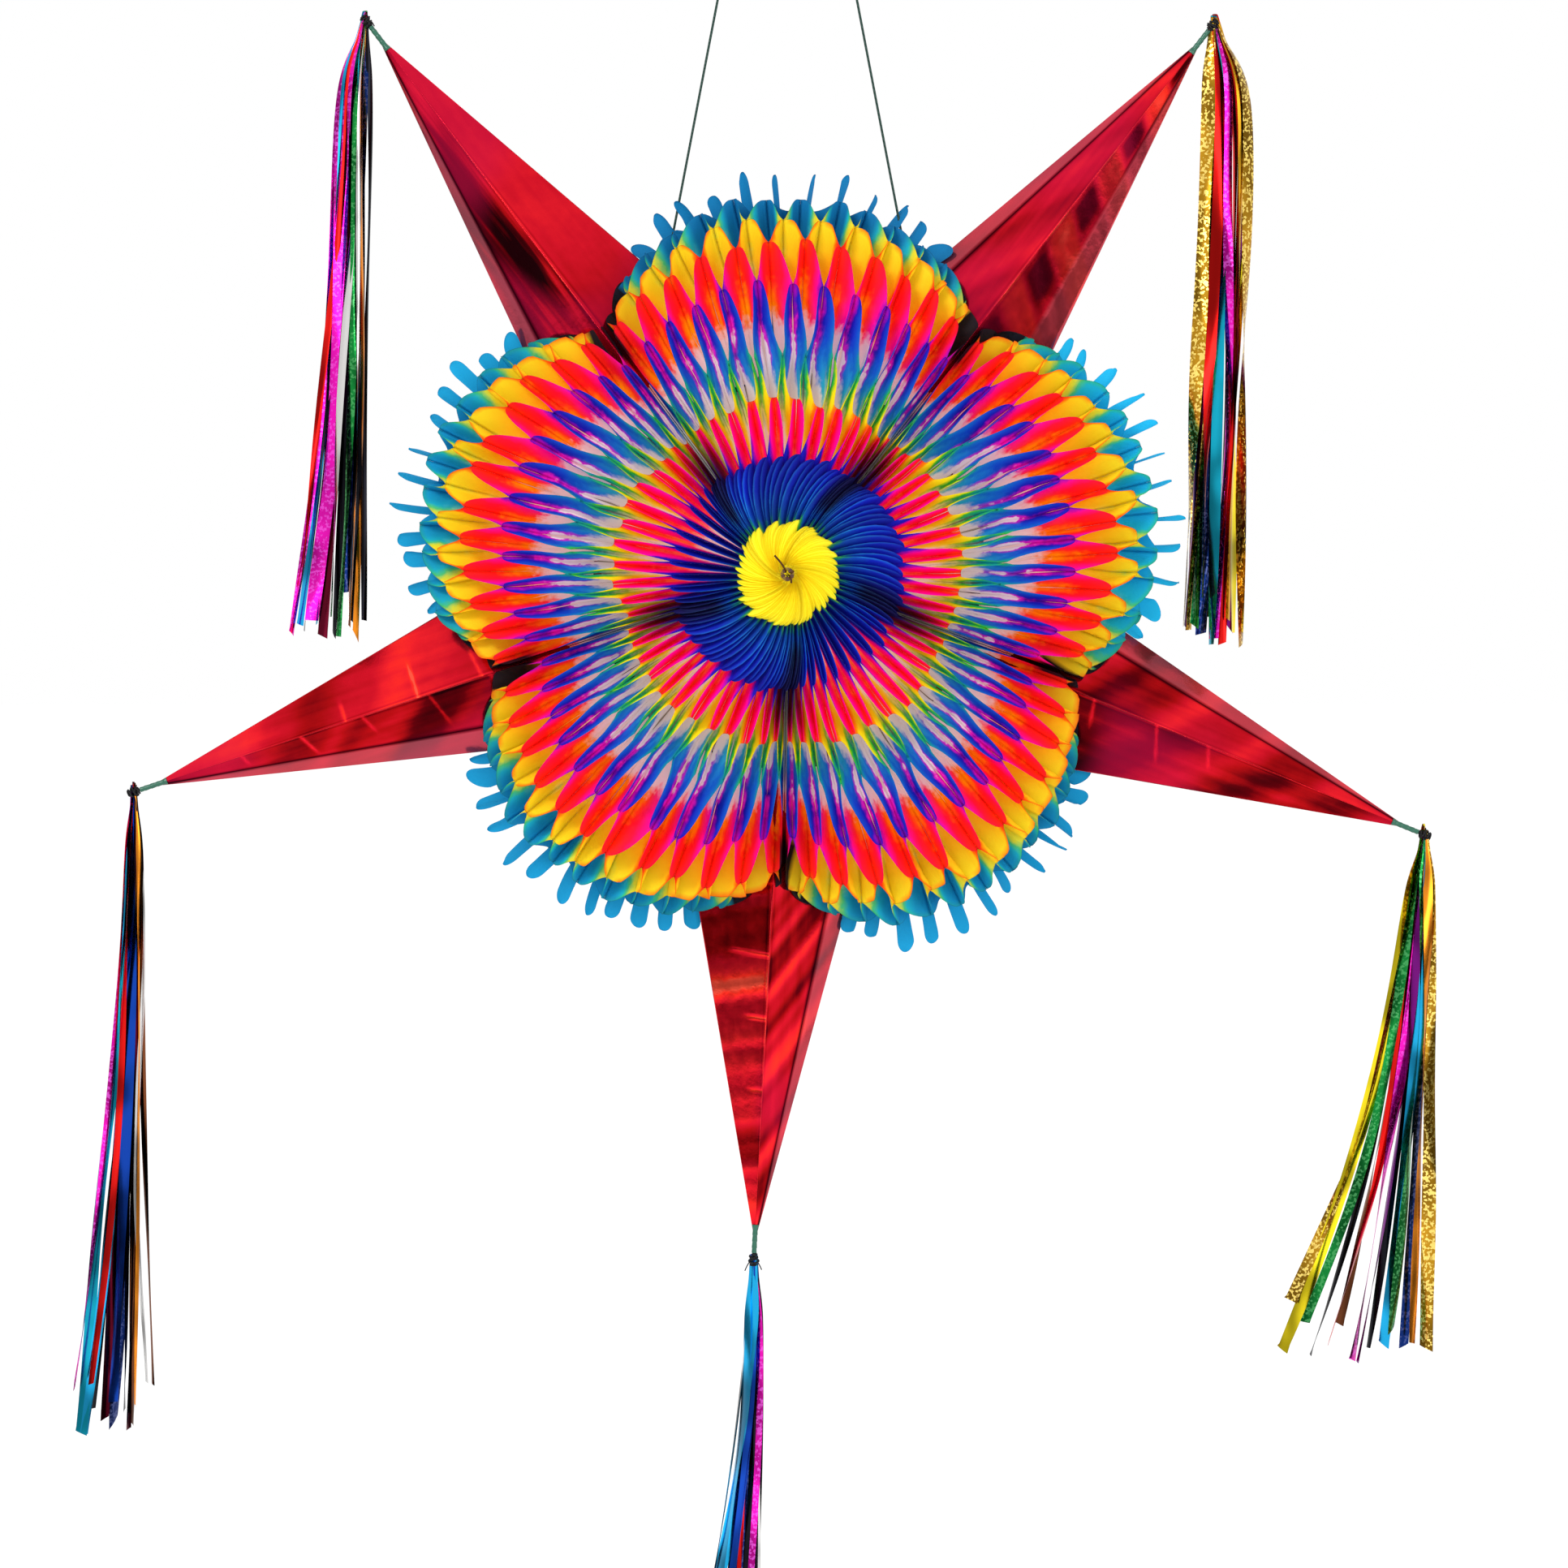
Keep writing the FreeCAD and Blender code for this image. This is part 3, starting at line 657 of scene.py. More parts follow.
class Fan:
    """Where one fan's leaves may stand: between its seams and outside its cones."""

    def __init__(self, first, last):
        start = SEAM_SPOKES[first]
        stop = start + (SEAM_SPOKES[last] - start) % 360
        self.ends = [(start, unwrapped(CONE_SPOKES[first], start), 1),
                     (stop, unwrapped(CONE_SPOKES[last], stop), -1)]

    def limit(self, end, radius, depth):
        """Azimuth of an end: beside its card, or beside the cone where there is one."""
        seam, cone, sign = self.ends[end]
        half = cone_half_width(radius)
        width = half * np.clip(1 - np.abs(depth) / (DEPTH_SHARE * half), 0, None)
        width = np.where(radius > CONE_BASE - 6, width, 0)
        past_card = smooth_step(np.abs(depth) - np.interp(radius, *CARD_FRONT), 0, 8)
        gap = CARD_GAP + (SEAM_GAP - CARD_GAP) * past_card
        card = np.degrees(np.arcsin(np.clip(gap / radius, 0, 0.5)))
        face = np.degrees(np.arcsin(np.clip((width + FACE_GAP) / radius, 0, 0.9)))
        middle = seam + (cone - seam) * smooth_step(width, 0, 8)
        pick = np.maximum if sign > 0 else np.minimum
        return pick(seam + sign * card, middle + sign * face)

    def azimuth(self, place, radius, depth):
        """Azimuth of a place from -1 to 1 across the fan."""
        start, stop = self.limit(0, radius, depth), self.limit(1, radius, depth)
        return start + (stop - start) * (place + 1) / 2


def petal_rise(x, ring):
    """Share of the way from one ring's tips to the next, over the ring's depth."""
    if ring == NECK_RING:
        return (1 - np.cos(np.pi * x / 2)) ** NECK_CURVE
    bend, curve = OUTLINE[ring]
    aside = np.cos(np.pi * x / 2) ** 2
    return (1 - aside ** bend) ** (1 / curve)


def edge_radius(rings, aside):
    """Radius of a leaf's cut edge, by its depth in rings and how far aside it is in its lobe."""
    mirrored = np.minimum(rings, 2 * LAST_RING - rings)
    low = np.minimum(np.floor(mirrored).astype(int), LAST_RING - 1)
    fall = aside ** END_DROP
    radius = np.zeros_like(rings)
    for ring in range(LAST_RING):
        first = TIPS[ring] * (1 - (1 - END_SHARE[ring]) * fall)
        last = TIPS[ring + 1] * (1 - (1 - END_SHARE[ring + 1]) * fall)
        between = first + (last - first) * petal_rise(mirrored - low, ring + 1)
        radius = np.where(low == ring, between, radius)
    notch = NOTCH * np.exp(-((mirrored - np.round(mirrored)) / NOTCH_RINGS) ** 2)
    return radius - notch * (mirrored > 1.5)


def inner_radius(depth):
    """Radius of a leaf's inner edge: the pole's, the core's or the well's."""
    behind = np.where(depth > CORE_DEPTH, WELL_INNER, CORE_INNER)
    return np.where(depth < -CORE_DEPTH, POLE_INNER, behind)


def at_joints(table, rings, leaf, sign):
    """A table's values at a leaf's glued joints, eased from each joint to the next."""
    low = np.floor(rings).astype(int)
    ahead = (low % 2 == 1) == (sign > 0)
    here = np.where(ahead, leaf, leaf - 1) + 2
    there = np.where(ahead, leaf - 1, leaf) + 2
    part = smooth_step(rings - low)
    return table[low, here] * (1 - part) + table[low + 1, there] * part


def zigzag(rings):
    """From -1 at even rings to 1 at odd rings, in rounded troughs."""
    low = np.floor(rings).astype(int)
    part = rings - low
    rise = part ** ROUNDING / (part ** ROUNDING + (1 - part) ** ROUNDING)
    return np.where(low % 2 == 0, 2 * rise - 1, 1 - 2 * rise)


def leaf_rows():
    """Places of a leaf's rows in rings, from the front to the back."""
    rings = np.concatenate([np.arange(0, LAST_RING, FRONT_STEP),
                            np.arange(LAST_RING, BACK_END, BACK_STEP)])
    return rings - GATHER * np.sin(2 * np.pi * rings)


def leaf_painted_shade(radius, end):
    """Painted shade on a leaf, by its radius and how far it is to its fan's end."""
    # painted shade: end leaves by the cones go black, for their shadow and reflection in the foil
    ink = smooth_step(radius, *END_SHADE_RADII) * (end > END_SHADE_SHARE) * END_SHADE_STRENGTH
    shadow = smooth_step(end, *SHADOW_SHARES) * smooth_step(radius, *SHADOW_START)
    return np.maximum(ink, SHADOW_STRENGTH * shadow * (1 - smooth_step(radius, *SHADOW_END)))


def cell_bend(radius, leaf):
    """Turn of a leaf, in degrees, where the inner cells sway."""
    return 0.7 * np.sin((radius - 96) / 9.0 + leaf) * np.exp(-((radius - 128) / 26) ** 2)


def add_leaves(builder, fan, shape, rng):
    """All the leaves of one fan, glued to each other in turn at each ring."""
    rings = leaf_rows()
    depth = FRONT + RING_DEPTH * rings
    size = (2 * LAST_RING + 2, LEAVES + 3)
    turns = rng.normal(0, TURN_SPREAD, size)
    swells = rng.normal(0, SWELL_SPREAD, size)
    inward = np.linspace(0, 1, 10) ** 1.8
    front = 1 - smooth_step(rings, *SPLAY_RINGS)
    pole = 1 - smooth_step(rings, *CURL_RINGS)
    pull = TIE_PULL * (1 - smooth_step(rings, *TIE_RINGS))[:, None]
    shown = np.minimum(rings, 2 * LAST_RING - rings)
    for leaf in range(-1, LEAVES + 1):
        sign = 1 if leaf % 2 == 0 else -1
        place = -1 + 2 * leaf / (LEAVES - 1) + sign * zigzag(rings) * GLUED / (LEAVES - 1)
        place = np.clip(place, -1, 1) if 0 <= leaf < LEAVES else np.sign(place)
        middle = 1 - place ** 2
        tilt = (shape.lean + shape.splay * place) * front
        place = place + (shape.crowd + tilt) * middle
        edge = edge_radius(rings, np.abs(place)) + at_joints(swells, rings, leaf, sign)
        inner = np.clip(inner_radius(depth), 2.0, edge - 3)
        radius = edge[:, None] - (edge - inner)[:, None] * inward[None, :]
        depths = np.broadcast_to(depth[:, None], radius.shape)
        azimuth = fan.azimuth(place[:, None], radius, depths)
        azimuth += (at_joints(turns, rings, leaf, sign) * middle)[:, None]
        azimuth += ((POLE_CURL + shape.curl * middle) * pole)[:, None]
        azimuth += cell_bend(radius, leaf) * middle[:, None]
        angle = np.radians(azimuth) + pull / np.maximum(radius, 5.0)
        shade = np.where(rings < NECK_RING, rng.random(), shape.shade)[:, None]
        builder.grid(around(radius, angle, depths), ring=shown[:, None], shade=shade,
                     edge=edge[:, None] - radius, ink=leaf_painted_shade(radius, np.abs(place)[:, None]))


FINGER_ROOT = 210.0
FINGER_TIP = 246.0
FINGER_HALVES = (4.6, 5.6)
FINGER_RING = 8.8  # where in the dye's rings they are
ROUND_FROM = 0.80  # the share of a finger where its tip rounds off, over this share
ROUND_OVER = 0.20


def add_fingers(builder, fan, shape, rng):
    """The outermost ring: narrow rounded tongues, some turned flat to the front."""
    out = 1 - (1 - np.linspace(0, 1, 20)) ** 1.7
    across = np.linspace(-1, 1, 7)[None, :]
    rounded = np.sqrt(1 - np.clip((out - ROUND_FROM) / ROUND_OVER, 0, 1) ** 2)
    for number in range(PETALS):
        place = -1 + (2 * number + 1) / PETALS
        place += shape.crowd * (1 - place ** 2)
        fall = 1 - 0.12 * abs(place) ** END_DROP
        length = (FINGER_TIP - FINGER_ROOT) + rng.normal(0, 2.5)
        radius = (FINGER_ROOT * fall + length * out)[:, None] + 0 * across
        half = rng.uniform(*FINGER_HALVES) * rounded * (0.86 + 0.14 * smooth_step(out, 0, 0.6))
        aside = half[:, None] * across
        twist = np.interp(place, (-1, -0.5, 0, 0.5, 1), shape.turns) + rng.normal(0, 9)
        turn = np.radians(twist) * smooth_step(out, -0.4, 0.25)[:, None]
        curl = 1.0 * (1 - across ** 2) * out[:, None]
        lean = rng.normal(0, 2.6) * out[:, None] ** 2
        depth = aside * np.cos(turn) + curl * np.sin(turn) + rng.normal(0, 2.5) * out[:, None] ** 2
        shift = aside * np.sin(turn) - curl * np.cos(turn) + lean
        angle = np.radians(fan.azimuth(place, radius, depth)) + shift / radius
        rim = np.abs(half[:, None] * (1 - np.abs(across)))
        builder.grid(around(radius, angle, depth), ring=FINGER_RING, edge=rim + 0.2,
                     shade=shape.shade, ink=0.0)


def add_fans():
    """The five fans of tissue."""
    for number, (name, (first, last)) in enumerate(FANS.items()):
        rng = np.random.default_rng(11 + number)
        fan, shape, builder = Fan(first, last), FAN_SHAPES[name], Builder()
        add_leaves(builder, fan, shape, rng)
        add_fingers(builder, fan, shape, rng)
        builder.build("tissue_leaves_" + name, [TISSUE], "star", "tissue_fan_" + name, "tissue")


add_fans()


# ---- cones

CONE_ROWS = 230
CREASE_STEP = 42.0
CREASE_HALF = 1.1
OVERLAP = 0.9  # how far the glued overlap stands out
TISSUE_EDGE = 176  # reach where the tissue's painted dark reflection starts to fade, and over how much
TISSUE_FADE = 26
BARS_START = 11
RIDGE_CORNERS = ((1, 0), (0, -DEPTH_SHARE), (-1, 0), (0, DEPTH_SHARE))
FACE_LENGTH = math.hypot(1, DEPTH_SHARE)
NO_SEAM = 2.0  # beyond a face's edge
# painted reflection: how each cone's two front faces mirror the room, the anticlockwise one first:
# tone, from dark to bright; swing, how much the bands across it change that; spacing and slant of
# the bands; streaks, the same along it; seam, where the glued overlap ends; creases, how many;
# bars, how much a row of dark patches beside the ridge and bright bars between them change its
# tone
Look = namedtuple("Look", "tone swing spacing slant streaks seam creases bars",
                  defaults=(NO_SEAM, 0, 0))
PLAIN_BACK = Look(0.52, 0.5, 60, 0.3, 0.3)
FACES = {
    "upper_left": (Look(0.34, 0.7, 130, 0.9, 1.5, seam=0.75), Look(0.62, 0.22, 120, 0.4, 0.10)),
    "upper_right": (Look(0.58, 0.6, 90, 1.6, 0.35, seam=0.75),
                    Look(0.62, 0.25, 49, 0.5, 0.08, seam=0.63, bars=0.56)),
    "left": (Look(0.42, 0.8, 80, -0.9, 0.35, seam=0.66, creases=5),
             Look(0.60, 0.6, 110, 0.3, 0.25, creases=3)),
    "bottom": (Look(0.56, 1.3, 46, 1.1, 0.30, seam=0.75),
               Look(0.64, 0.8, 44, -0.2, 0.15, creases=4)),
    "right": (Look(0.62, 0.9, 75, -0.7, 0.30, seam=0.70),
              Look(0.30, 0.9, 90, 0.9, 0.35, creases=3)),
}
# places across a face, from its front or back ridge to its outer edge
ACROSS = np.array([0, 0.018, 0.035, 0.07, 0.13, 0.2, 0.27, 0.34, 0.41, 0.48, 0.55, 0.61, 0.66,
                   0.70, 0.75, 0.80, 0.86, 0.93, 0.985])


def crease_lines(look, reach, across, half, rng):
    """Strength of short creases across a face, which dent it and carry a painted highlight."""
    lines = np.zeros(across.shape)
    first = CONE_BASE + rng.uniform(85, 100)
    for number in range(look.creases):
        place = first + number * CREASE_STEP + rng.uniform(-5, 5)
        slant = look.slant * 0.4 + rng.uniform(-0.12, 0.12)
        end = rng.uniform(0.35, 0.62)
        gap = reach - (place + slant * across * half)
        strength = rng.uniform(0.6, 1.0) * (1 - smooth_step(across, end - 0.15, end + 0.1))
        lines = np.maximum(lines, np.exp(-(gap / CREASE_HALF) ** 2) * strength)
    return lines


def across_face(side):
    """Places across a face from its ridge, in the order that the section is walked."""
    return ACROSS if side % 2 == 1 else np.concatenate([[1.0], ACROSS[:0:-1]])


def face_section(half, side, across):
    """Sideways and depth places on one flat face."""
    walked = across if side % 2 == 1 else 1 - across
    first, last = RIDGE_CORNERS[side], RIDGE_CORNERS[(side + 1) % 4]
    return [half * (a + (b - a) * walked) for a, b in zip(first, last)]


def cone_face(point, side, reach, rng):
    """One face of a cone: its places across and in depth, and its attributes."""
    look = FACES[point][side] if side < 2 else PLAIN_BACK
    across = across_face(side)[None, :] + 0 * reach
    half = cone_half_width(reach) + 0 * across
    sideways, depth = face_section(half, side, across)
    creases = crease_lines(look, reach, across, half, rng)
    lapped = across > look.seam + 0.01
    overlap = OVERLAP * lapped * (half / BASE_HALF) ** 0.5
    sag = 0.010 * half * np.sin(np.pi * across) * np.sin(reach / 33 + rng.uniform(0, 6))
    push = sag + overlap - 0.4 * creases
    lateral_sign, depth_sign = ((1, -1), (-1, -1), (-1, 1), (1, 1))[side]
    sideways = sideways + push * lateral_sign * DEPTH_SHARE / FACE_LENGTH
    depth = depth + push * depth_sign / FACE_LENGTH
    # painted reflection: the tissue's dark reflection, darkest near the tissue
    tissue_reflection = np.exp(-np.clip(reach - TISSUE_EDGE, 0, None) / TISSUE_FADE)
    # painted highlight along the front ridge, and a painted shade line just beside it
    ridge = np.where(across < 0.02, 0.08, np.where(across < 0.05, -0.14, 0))
    # painted reflection: bright bars of a lamp, and dark patches beside the ridge
    along_bars = reach + look.slant * across * half * FACE_LENGTH
    bars = np.tanh(2.4 * np.sin(2 * np.pi * (along_bars - BARS_START) / look.spacing) + 0.2)
    patch = smooth_step(across, 0.03, 0.12) * (1 - smooth_step(across, 0.40, 0.62))
    bars = look.bars * np.where(bars < 0, bars * patch, 0.5 * bars)
    # the tone is painted reflection, with painted highlights on the creases
    tone = look.tone + bars + 0.45 * creases - 0.38 * tissue_reflection + ridge * (side < 2)
    values = {
        "tone": tone,
        "swing": look.swing,
        "streaks": look.streaks,
        "band": along_bars / look.spacing * 2,
        "reach": reach * MM,
        "across": across * half * FACE_LENGTH * MM,
        "side": 3.7 * side + 11.3 * POINTS.index(point),
        "strip": lapped * 1.0,
        "seam": np.exp(-((across - look.seam) * half / 0.7) ** 2),
    }
    return sideways, depth, {key: value + 0 * across for key, value in values.items()}


def add_cone(point, seed):
    """A folded foil cone with its ridges, creases and glued overlap."""
    rng = np.random.default_rng(seed)
    spoke = CONE_SPOKES[point]
    reach = np.linspace(CONE_BASE - 2, CONE_TIP, CONE_ROWS)[:, None]
    faces = [cone_face(point, side, reach, rng) for side in range(4)]
    lateral = np.hstack([face[0] for face in faces])[:, :, None]
    depth = np.hstack([face[1] for face in faces])[:, :, None]
    values = {key: np.hstack([face[2][key] for face in faces]) for key in faces[0][2]}
    points = (CENTRE + along(spoke) * reach[:, :, None] + along(spoke + 90) * lateral
              + np.array((0, 1, 0)) * depth)
    builder = Builder()
    builder.grid(points, closed=True, **values)
    cone = builder.build("foil_cone_" + point, [RED_FOIL], "star", "cone_" + point, "red_foil")
    mark_ridges(cone, 4 * len(ACROSS))


def mark_ridges(item, around):
    """Sharp edges along the section's corners, so that the faces stay flat to the eye."""
    mesh = item.data
    ends = np.zeros(len(mesh.edges) * 2, np.int64)
    mesh.edges.foreach_get("vertices", ends)
    column = ends.reshape(-1, 2) % around
    lengthwise = column[:, 0] == column[:, 1]
    corners = np.arange(4) * len(ACROSS)
    sharp = mesh.attributes.new("sharp_edge", "BOOLEAN", "EDGE")
    sharp.data.foreach_set("value", lengthwise & np.isin(column[:, 0], corners))
    mesh.update()


for number, point in enumerate(POINTS):
    add_cone(point, 31 + number)


# ---- tips: tape wraps and tie knots

def tube(builder, path, radius, sides=10):
    """Round tube along a list of points."""
    path = np.asarray(path, float)
    ahead = np.gradient(path, axis=0)
    ahead /= np.linalg.norm(ahead, axis=1)[:, None]
    up = np.array((0.0, 1.0, 0.0)) if abs(ahead[0][1]) < 0.9 else np.array((1.0, 0.0, 0.0))
    angles = np.linspace(0, 2 * math.pi, sides, endpoint=False)[:, None]
    rows = []
    for place, way, thick in zip(path, ahead, np.broadcast_to(radius, len(path))):
        up = up - way * np.dot(up, way)
        up /= np.linalg.norm(up)
        rows.append(place + thick * (np.cos(angles) * up + np.sin(angles) * np.cross(way, up)))
    builder.grid(np.array(rows), closed=True)


WRAP_HALF = 7.0
WRAP_OVERLAP = 3.5  # how far the wrap reaches back over the cone
WRAP_PITCH = 4.2


def add_wrap(point):
    """Green tape wound round a cone's tip."""
    spoke, reach = spoke_of("tip_wrap_" + point)
    steps = np.linspace(-WRAP_HALF - WRAP_OVERLAP, WRAP_HALF, 40)
    over_cone = smooth_step(-steps, WRAP_HALF - 1, WRAP_HALF + WRAP_OVERLAP)
    radius = 1.45 + 0.28 * ((steps / WRAP_PITCH) % 1.0) + 0.5 * over_cone
    builder = Builder()
    tube(builder, CENTRE + along(spoke) * (reach + steps)[:, None], radius, 14)
    builder.build("tape_wrap_" + point, [GREEN_TAPE], "star", "tip_wrap_" + point, "green_tape")


KNOT_TURNS = 11
KNOT_STEPS = 300


def add_knot(point, seed):
    """Black thread wound and tied into a knot, with its two cut ends."""
    rng = np.random.default_rng(seed)
    middle = middle_of("tassel_knot_" + point)
    spoke = CONE_SPOKES[point]
    out, sideways, depth = along(spoke), along(spoke + 90), np.array((0.0, 1.0, 0.0))
    steps = np.linspace(0, 1, KNOT_STEPS)
    angle = steps * 2 * math.pi * KNOT_TURNS + np.cumsum(rng.normal(0, 0.03, KNOT_STEPS))
    height = 3.5 * np.sin(steps * 5 * math.pi + 0.7)
    ring = 2.6 + 0.6 * np.sin(angle * 0.37 + rng.uniform(0, 6)) - 0.11 * height ** 2
    path = (middle + out * height[:, None] + sideways * (ring * np.cos(angle))[:, None]
            + depth * (ring * np.sin(angle))[:, None])
    builder = Builder()
    tube(builder, path, 0.55, 7)
    for way in (-1, 1):
        run = np.linspace(0, 1, 24)[:, None]
        droop = np.array((0.0, 0.0, -1.0)) * rng.uniform(5, 8) * run ** 2
        path = middle + sideways * way * rng.uniform(4, 7) * run + droop - depth * 2.0 * run
        tube(builder, path, 0.35, 6)
    builder.build("tie_knot_" + point, [TIE_THREAD], "knot_" + point, "tassel_knot_" + point,
                  "tie_thread")


for number, point in enumerate(POINTS):
    add_wrap(point)
    add_knot(point, 51 + number)


# ---- tassels

# each film: colour, and how much it glitters
FILMS = {
    "black": ((0.010, 0.010, 0.014), 0.0), "silver": ((0.62, 0.61, 0.60), 0.0),
    "navy": ((0.006, 0.022, 0.13), 0.25), "royal": ((0.01, 0.06, 0.42), 0.0),
    "teal": ((0.01, 0.35, 0.50), 0.0), "sky": ((0.02, 0.42, 0.78), 0.0),
    "gold": ((0.80, 0.40, 0.02), 0.0), "holo_gold": ((0.50, 0.25, 0.015), 0.9),
    "orange": ((0.88, 0.28, 0.02), 0.0), "yellow": ((0.98, 0.78, 0.02), 0.0),
    "magenta": ((0.80, 0.01, 0.45), 0.3), "purple": ((0.18, 0.01, 0.20), 0.0),
    "red": ((0.72, 0.012, 0.01), 0.0), "maroon": ((0.10, 0.004, 0.015), 0.0),
    "green": ((0.01, 0.22, 0.04), 0.3), "brown": ((0.16, 0.05, 0.02), 0.0),
}
STRIPS = {name: strip_material(name, colour, glitter)
          for name, (colour, glitter) in FILMS.items()}
# each tassel: where its strips hang once over the knot, in millimetres from the knot; and its
# strips from left to right: film and width
TASSELS = {
    "upper_left": (-15, 0, """magenta 4, sky 6, red 4, black 6, teal 5, magenta 9, maroon 6,
        black 5, silver 5, black 5, green 5, navy 8, silver 3, black 5, orange 4, black 4"""),
    "upper_right": (-4, 22, """holo_gold 9, purple 5, holo_gold 7, green 7, red 7, navy 8,
        teal 7, black 5, magenta 6, red 5, purple 5, gold 5, yellow 7, holo_gold 9"""),
    "left": (-4, 4, """magenta 4, teal 7, sky 6, black 7, red 4, maroon 6, navy 9, black 7,
        royal 7, black 7, maroon 5, brown 5, orange 3, silver 3, brown 4"""),
    "bottom": (-3, 4, """silver 2, sky 10, purple 3, sky 8, black 3, royal 5, red 4, navy 9,
        black 8, magenta 4, black 6, silver 2"""),
    "right": (-7, 5, """yellow 8, holo_gold 8, green 6, black 5, red 6, brown 5, magenta 8,
        purple 6, black 5, sky 7, green 8, navy 6, orange 6, holo_gold 9"""),
}
DARK_STRIPS = ("black", "navy", "maroon", "brown")  # hang behind the others
INSET = 6.0  # of the first strip from the side of the tassel
HANG_STEP = 0.055  # share of a strip's length in which it spreads to where it hangs
ARCH = 9.0  # how far a strip rises over the knot; where along it, and over what share
ARCH_AT = 0.012
ARCH_HALF = 0.014
SWAY = (1.6, 1.8)  # sideways, and towards the camera
TURN = 1.1  # of a strip at the knot, in radians
TWIST = 1.6  # from there to its end
NARROWED = 0.45  # its width at the knot
FOLD = 0.5


def strip_grid(width, start, hang, end, rng):
    """One film strip: over the knot, down from where it hangs to its end, with a twist."""
    steps = np.linspace(0, 1, 110) ** 1.25
    spread = 1 - np.exp(-(steps / HANG_STEP) ** 1.3)
    fall = steps ** 1.7
    sway = rng.normal(0, SWAY[0]) * np.sin(2.3 * math.pi * steps) * spread
    x = start[0] + hang[0] * spread + (end[0] - start[0] - hang[0]) * fall + sway
    y = start[1] + hang[1] * spread + (end[1] - start[1] - hang[1]) * fall
    y += rng.normal(0, SWAY[1]) * np.sin(2 * math.pi * steps) * spread
    arch = ARCH * rng.uniform(0.5, 1.2) * np.exp(-((steps - ARCH_AT) / ARCH_HALF) ** 2)
    z = start[2] + (end[2] - start[2]) * steps + arch * (steps > 0)
    turn = (rng.uniform(-TURN, TURN) + rng.uniform(-TWIST, TWIST) * steps
            + 0.6 * np.sin(7 * steps + rng.uniform(0, 6)))
    across = np.linspace(-1, 1, 4)[None, :]
    narrow = NARROWED + 0.55 * smooth_step(steps, 0.0, 0.10)
    half = (width / 2) * narrow[:, None] * across
    fold = FOLD * (1 - across ** 2)
    cosine, sine = np.cos(turn)[:, None], np.sin(turn)[:, None]
    points = np.stack([x[:, None] + half * cosine + fold * sine,
                       y[:, None] + half * sine - fold * cosine,
                       z[:, None] + 0 * half], -1)
    points[-1, :, 2] += 1.5 * rng.normal() * across[0]
    return points


def add_tassel(point, seed):
    """Film strips that hang from the knot, each with its own twist and sway."""
    rng = np.random.default_rng(seed)
    start = middle_of("tassel_knot_" + point)
    low, high = (np.array(corner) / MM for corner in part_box("tassel_" + point))
    first_hang, last_hang, listed = TASSELS[point]
    strips = [strip.split() for strip in listed.split(",")]
    names = sorted({name for name, _ in strips})
    builder = Builder()
    for number, (name, width) in enumerate(strips):
        share = (number + 0.5) / len(strips)
        hang_x = first_hang + (last_hang - first_hang) * share + rng.normal(0, 1.0)
        end_x = low[0] + INSET + (high[0] - low[0] - INSET) * share * 0.96 + rng.normal(0, 1.5)
        end_z = low[2] + rng.uniform(0, 16) + 30 * rng.random() ** 6
        layer = rng.uniform(0, 1) if name in DARK_STRIPS else rng.uniform(-1, 0.2)
        end_y = layer * 0.8 * high[1]
        hang = (hang_x, 3.5 * layer)
        points = strip_grid(int(width), start, hang, (end_x, end_y, end_z), rng)
        builder.grid(points, names.index(name))
    materials = [STRIPS[name] for name in names]
    builder.build("foil_tassel_" + point, materials, "tassel_" + point, "tassel_" + point,
                  "tassel_foil")


for number, point in enumerate(POINTS):
    add_tassel(point, 71 + number)


# ---- centre tie and CAD finishes

# the wire's splayed ends, from its front end, in millimetres
WIRE_ENDS = ((-7.5, -3.0, 11.0), (2.2, -3.5, -5.0), (3.5, -3.0, 2.0))


def add_centre_wire():
    """Twisted wire pulled through the middle, its ends splayed."""
    low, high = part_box("centre_wire_tie")
    front, back = low.y / MM, high.y / MM
    builder = Builder()
    depth = np.linspace(front + 2, back, 120)
    for phase in (0.0, math.pi):
        tube(builder, around(0.55, depth / 3.2 + phase, depth), 0.5, 7)
    start = np.array((CENTRE[0], front + 5, CENTRE[2]))
    bow = np.array((0.8, -1.5, 0.0))
    for end in WIRE_ENDS:
        steps = np.linspace(0, 1, 20)[:, None]
        tube(builder, start + np.array(end) * steps + bow * np.sin(math.pi * steps), 0.6, 7)
    builder.build("twisted_wire", [TIE_WIRE], "star", "centre_wire_tie", "tie_wire")


FINISHES = {
    "hanger_ring": HANGER_WIRE, "core_": GREY_CARD, "fill_flap": GREY_CARD,
    "fan_end_cards": SHADED_WHITE_CARD, "flap_tape": CLEAR_TAPE, "centre_washer": GREY_CARD,
    "string_loop": STRING, "anchor_knot": STRING,
}


def finish_cad_nodes():
    """Materials for the CAD nodes that stay in view."""
    for name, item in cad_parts.items():
        for start, material in FINISHES.items():
            if name.startswith(start):
                item.data.materials.clear()
                item.data.materials.append(material)


add_centre_wire()
finish_cad_nodes()


# ---- stage

FLOOR_SIZE = 30.0
FLOOR_DROP = 0.16


def sheet_object(name, width, height, material):
    """Flat rectangle across local x and y."""
    mesh = bpy.data.meshes.new(name)
    w, h = width / 2, height / 2
    mesh.from_pydata([(-w, -h, 0), (w, -h, 0), (w, h, 0), (-w, h, 0)], [], [(0, 1, 2, 3)])
    mesh.materials.append(material)
    item = new_object(name, mesh)
    return item


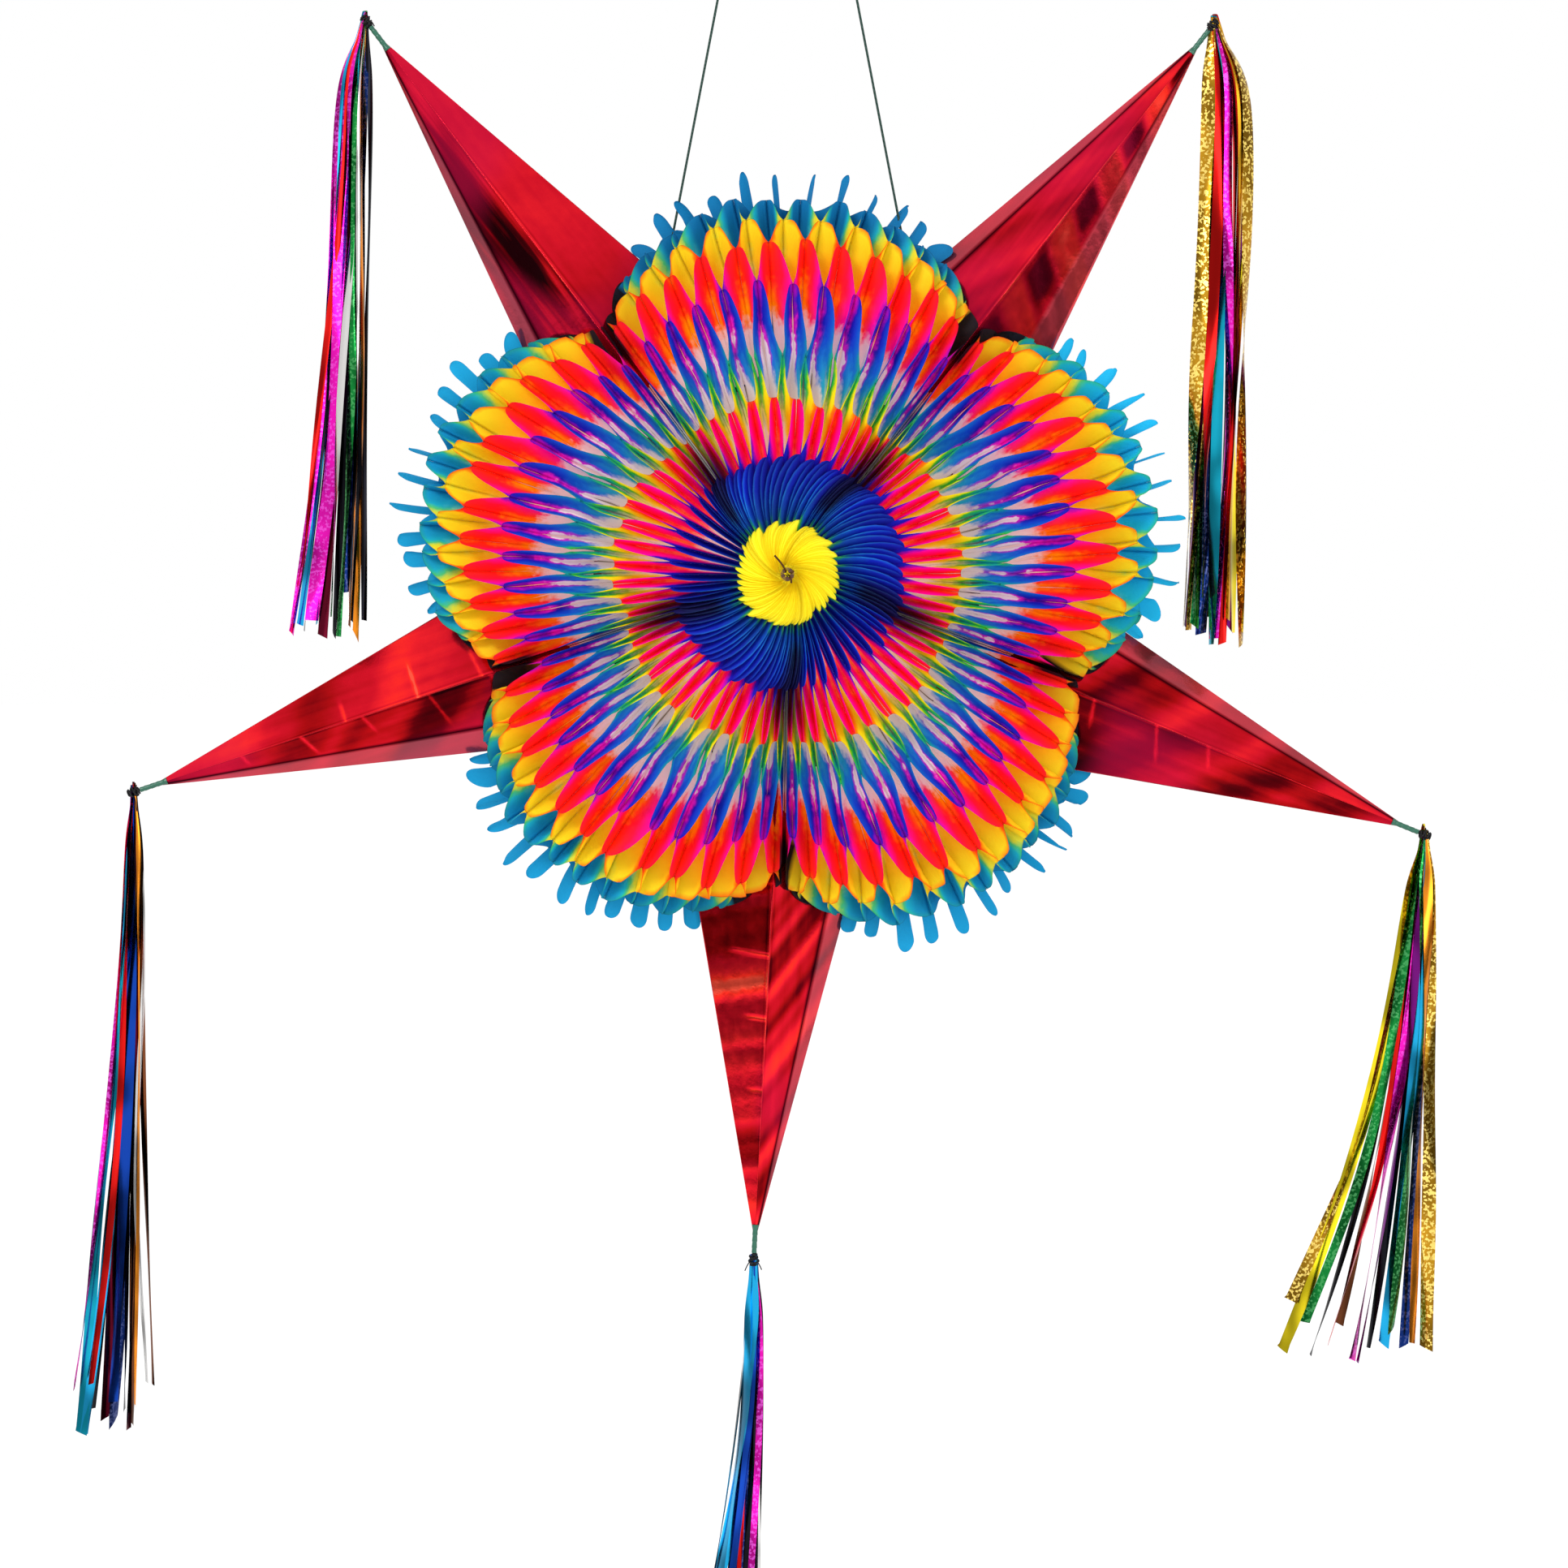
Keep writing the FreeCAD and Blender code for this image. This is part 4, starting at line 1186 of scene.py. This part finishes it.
def floor_material():
    """Pale paint, as bright far off as the room's walls."""
    material, tree = new_material("pale_floor")
    tone = mix(tree, noise(tree, 2.0), (0.93, 0.93, 0.93), (0.91, 0.91, 0.91))
    return coated(material, Base_Color=tone, Roughness=0.9, Specular_IOR_Level=0.1,
                  Emission_Color=(1.0, 1.0, 1.0, 1.0), Emission_Strength=0.12)


def add_floor():
    """Plain pale floor."""
    floor = sheet_object("floor", FLOOR_SIZE * 2, FLOOR_SIZE * 2, floor_material())
    floor.location.z = cad_low.z - FLOOR_DROP


def add_light(name, place, aim, size, power):
    """Soft rectangular light."""
    data = bpy.data.lights.new(name, "AREA")
    data.shape = "RECTANGLE"
    data.size, data.size_y = size
    data.energy = power
    aimed(new_object(name, data), place, aim)


def cloth_material():
    """Black studio cloth."""
    material, tree = new_material("black_cloth")
    tone = mix(tree, noise(tree, 5.0), (0.01, 0.01, 0.01), (0.03, 0.03, 0.03))
    return coated(material, "BsdfDiffuse", Color=tone)


def add_flag(name, place, aim, size, material):
    """Black card out of the camera's sight, for the foil to mirror."""
    card = sheet_object(name, size[0], size[1], material)
    aimed(card, place, aim)
    for ray in ("camera", "diffuse", "shadow", "transmission"):
        setattr(card, "visible_" + ray, False)


def add_world():
    """Even white room."""
    world = bpy.data.worlds.new("room")
    world.use_nodes = True
    back = world.node_tree.nodes["Background"]
    back.inputs[0].default_value = (1.0, 1.0, 1.0, 1.0)
    back.inputs[1].default_value = 1.0
    bpy.context.scene.world = world


def add_stage():
    """Floor, lights, flags and world."""
    middle = (0.0, 0.0, CENTRE[2] * MM)
    cloth = cloth_material()
    add_floor()
    add_light("key", (-1.5, -2.5, 1.3), middle, (1.4, 1.0), 62.0)
    add_light("fill", (1.9, -2.4, 0.0), middle, (1.6, 1.6), 26.0)
    add_flag("flag_left", (-1.6, -0.5, -1.1), middle, (0.9, 0.35), cloth)
    add_flag("flag_right", (1.6, -0.5, -0.9), middle, (0.9, 0.35), cloth)
    add_world()


add_stage()
bpy.context.scene.view_settings.view_transform = "Standard"
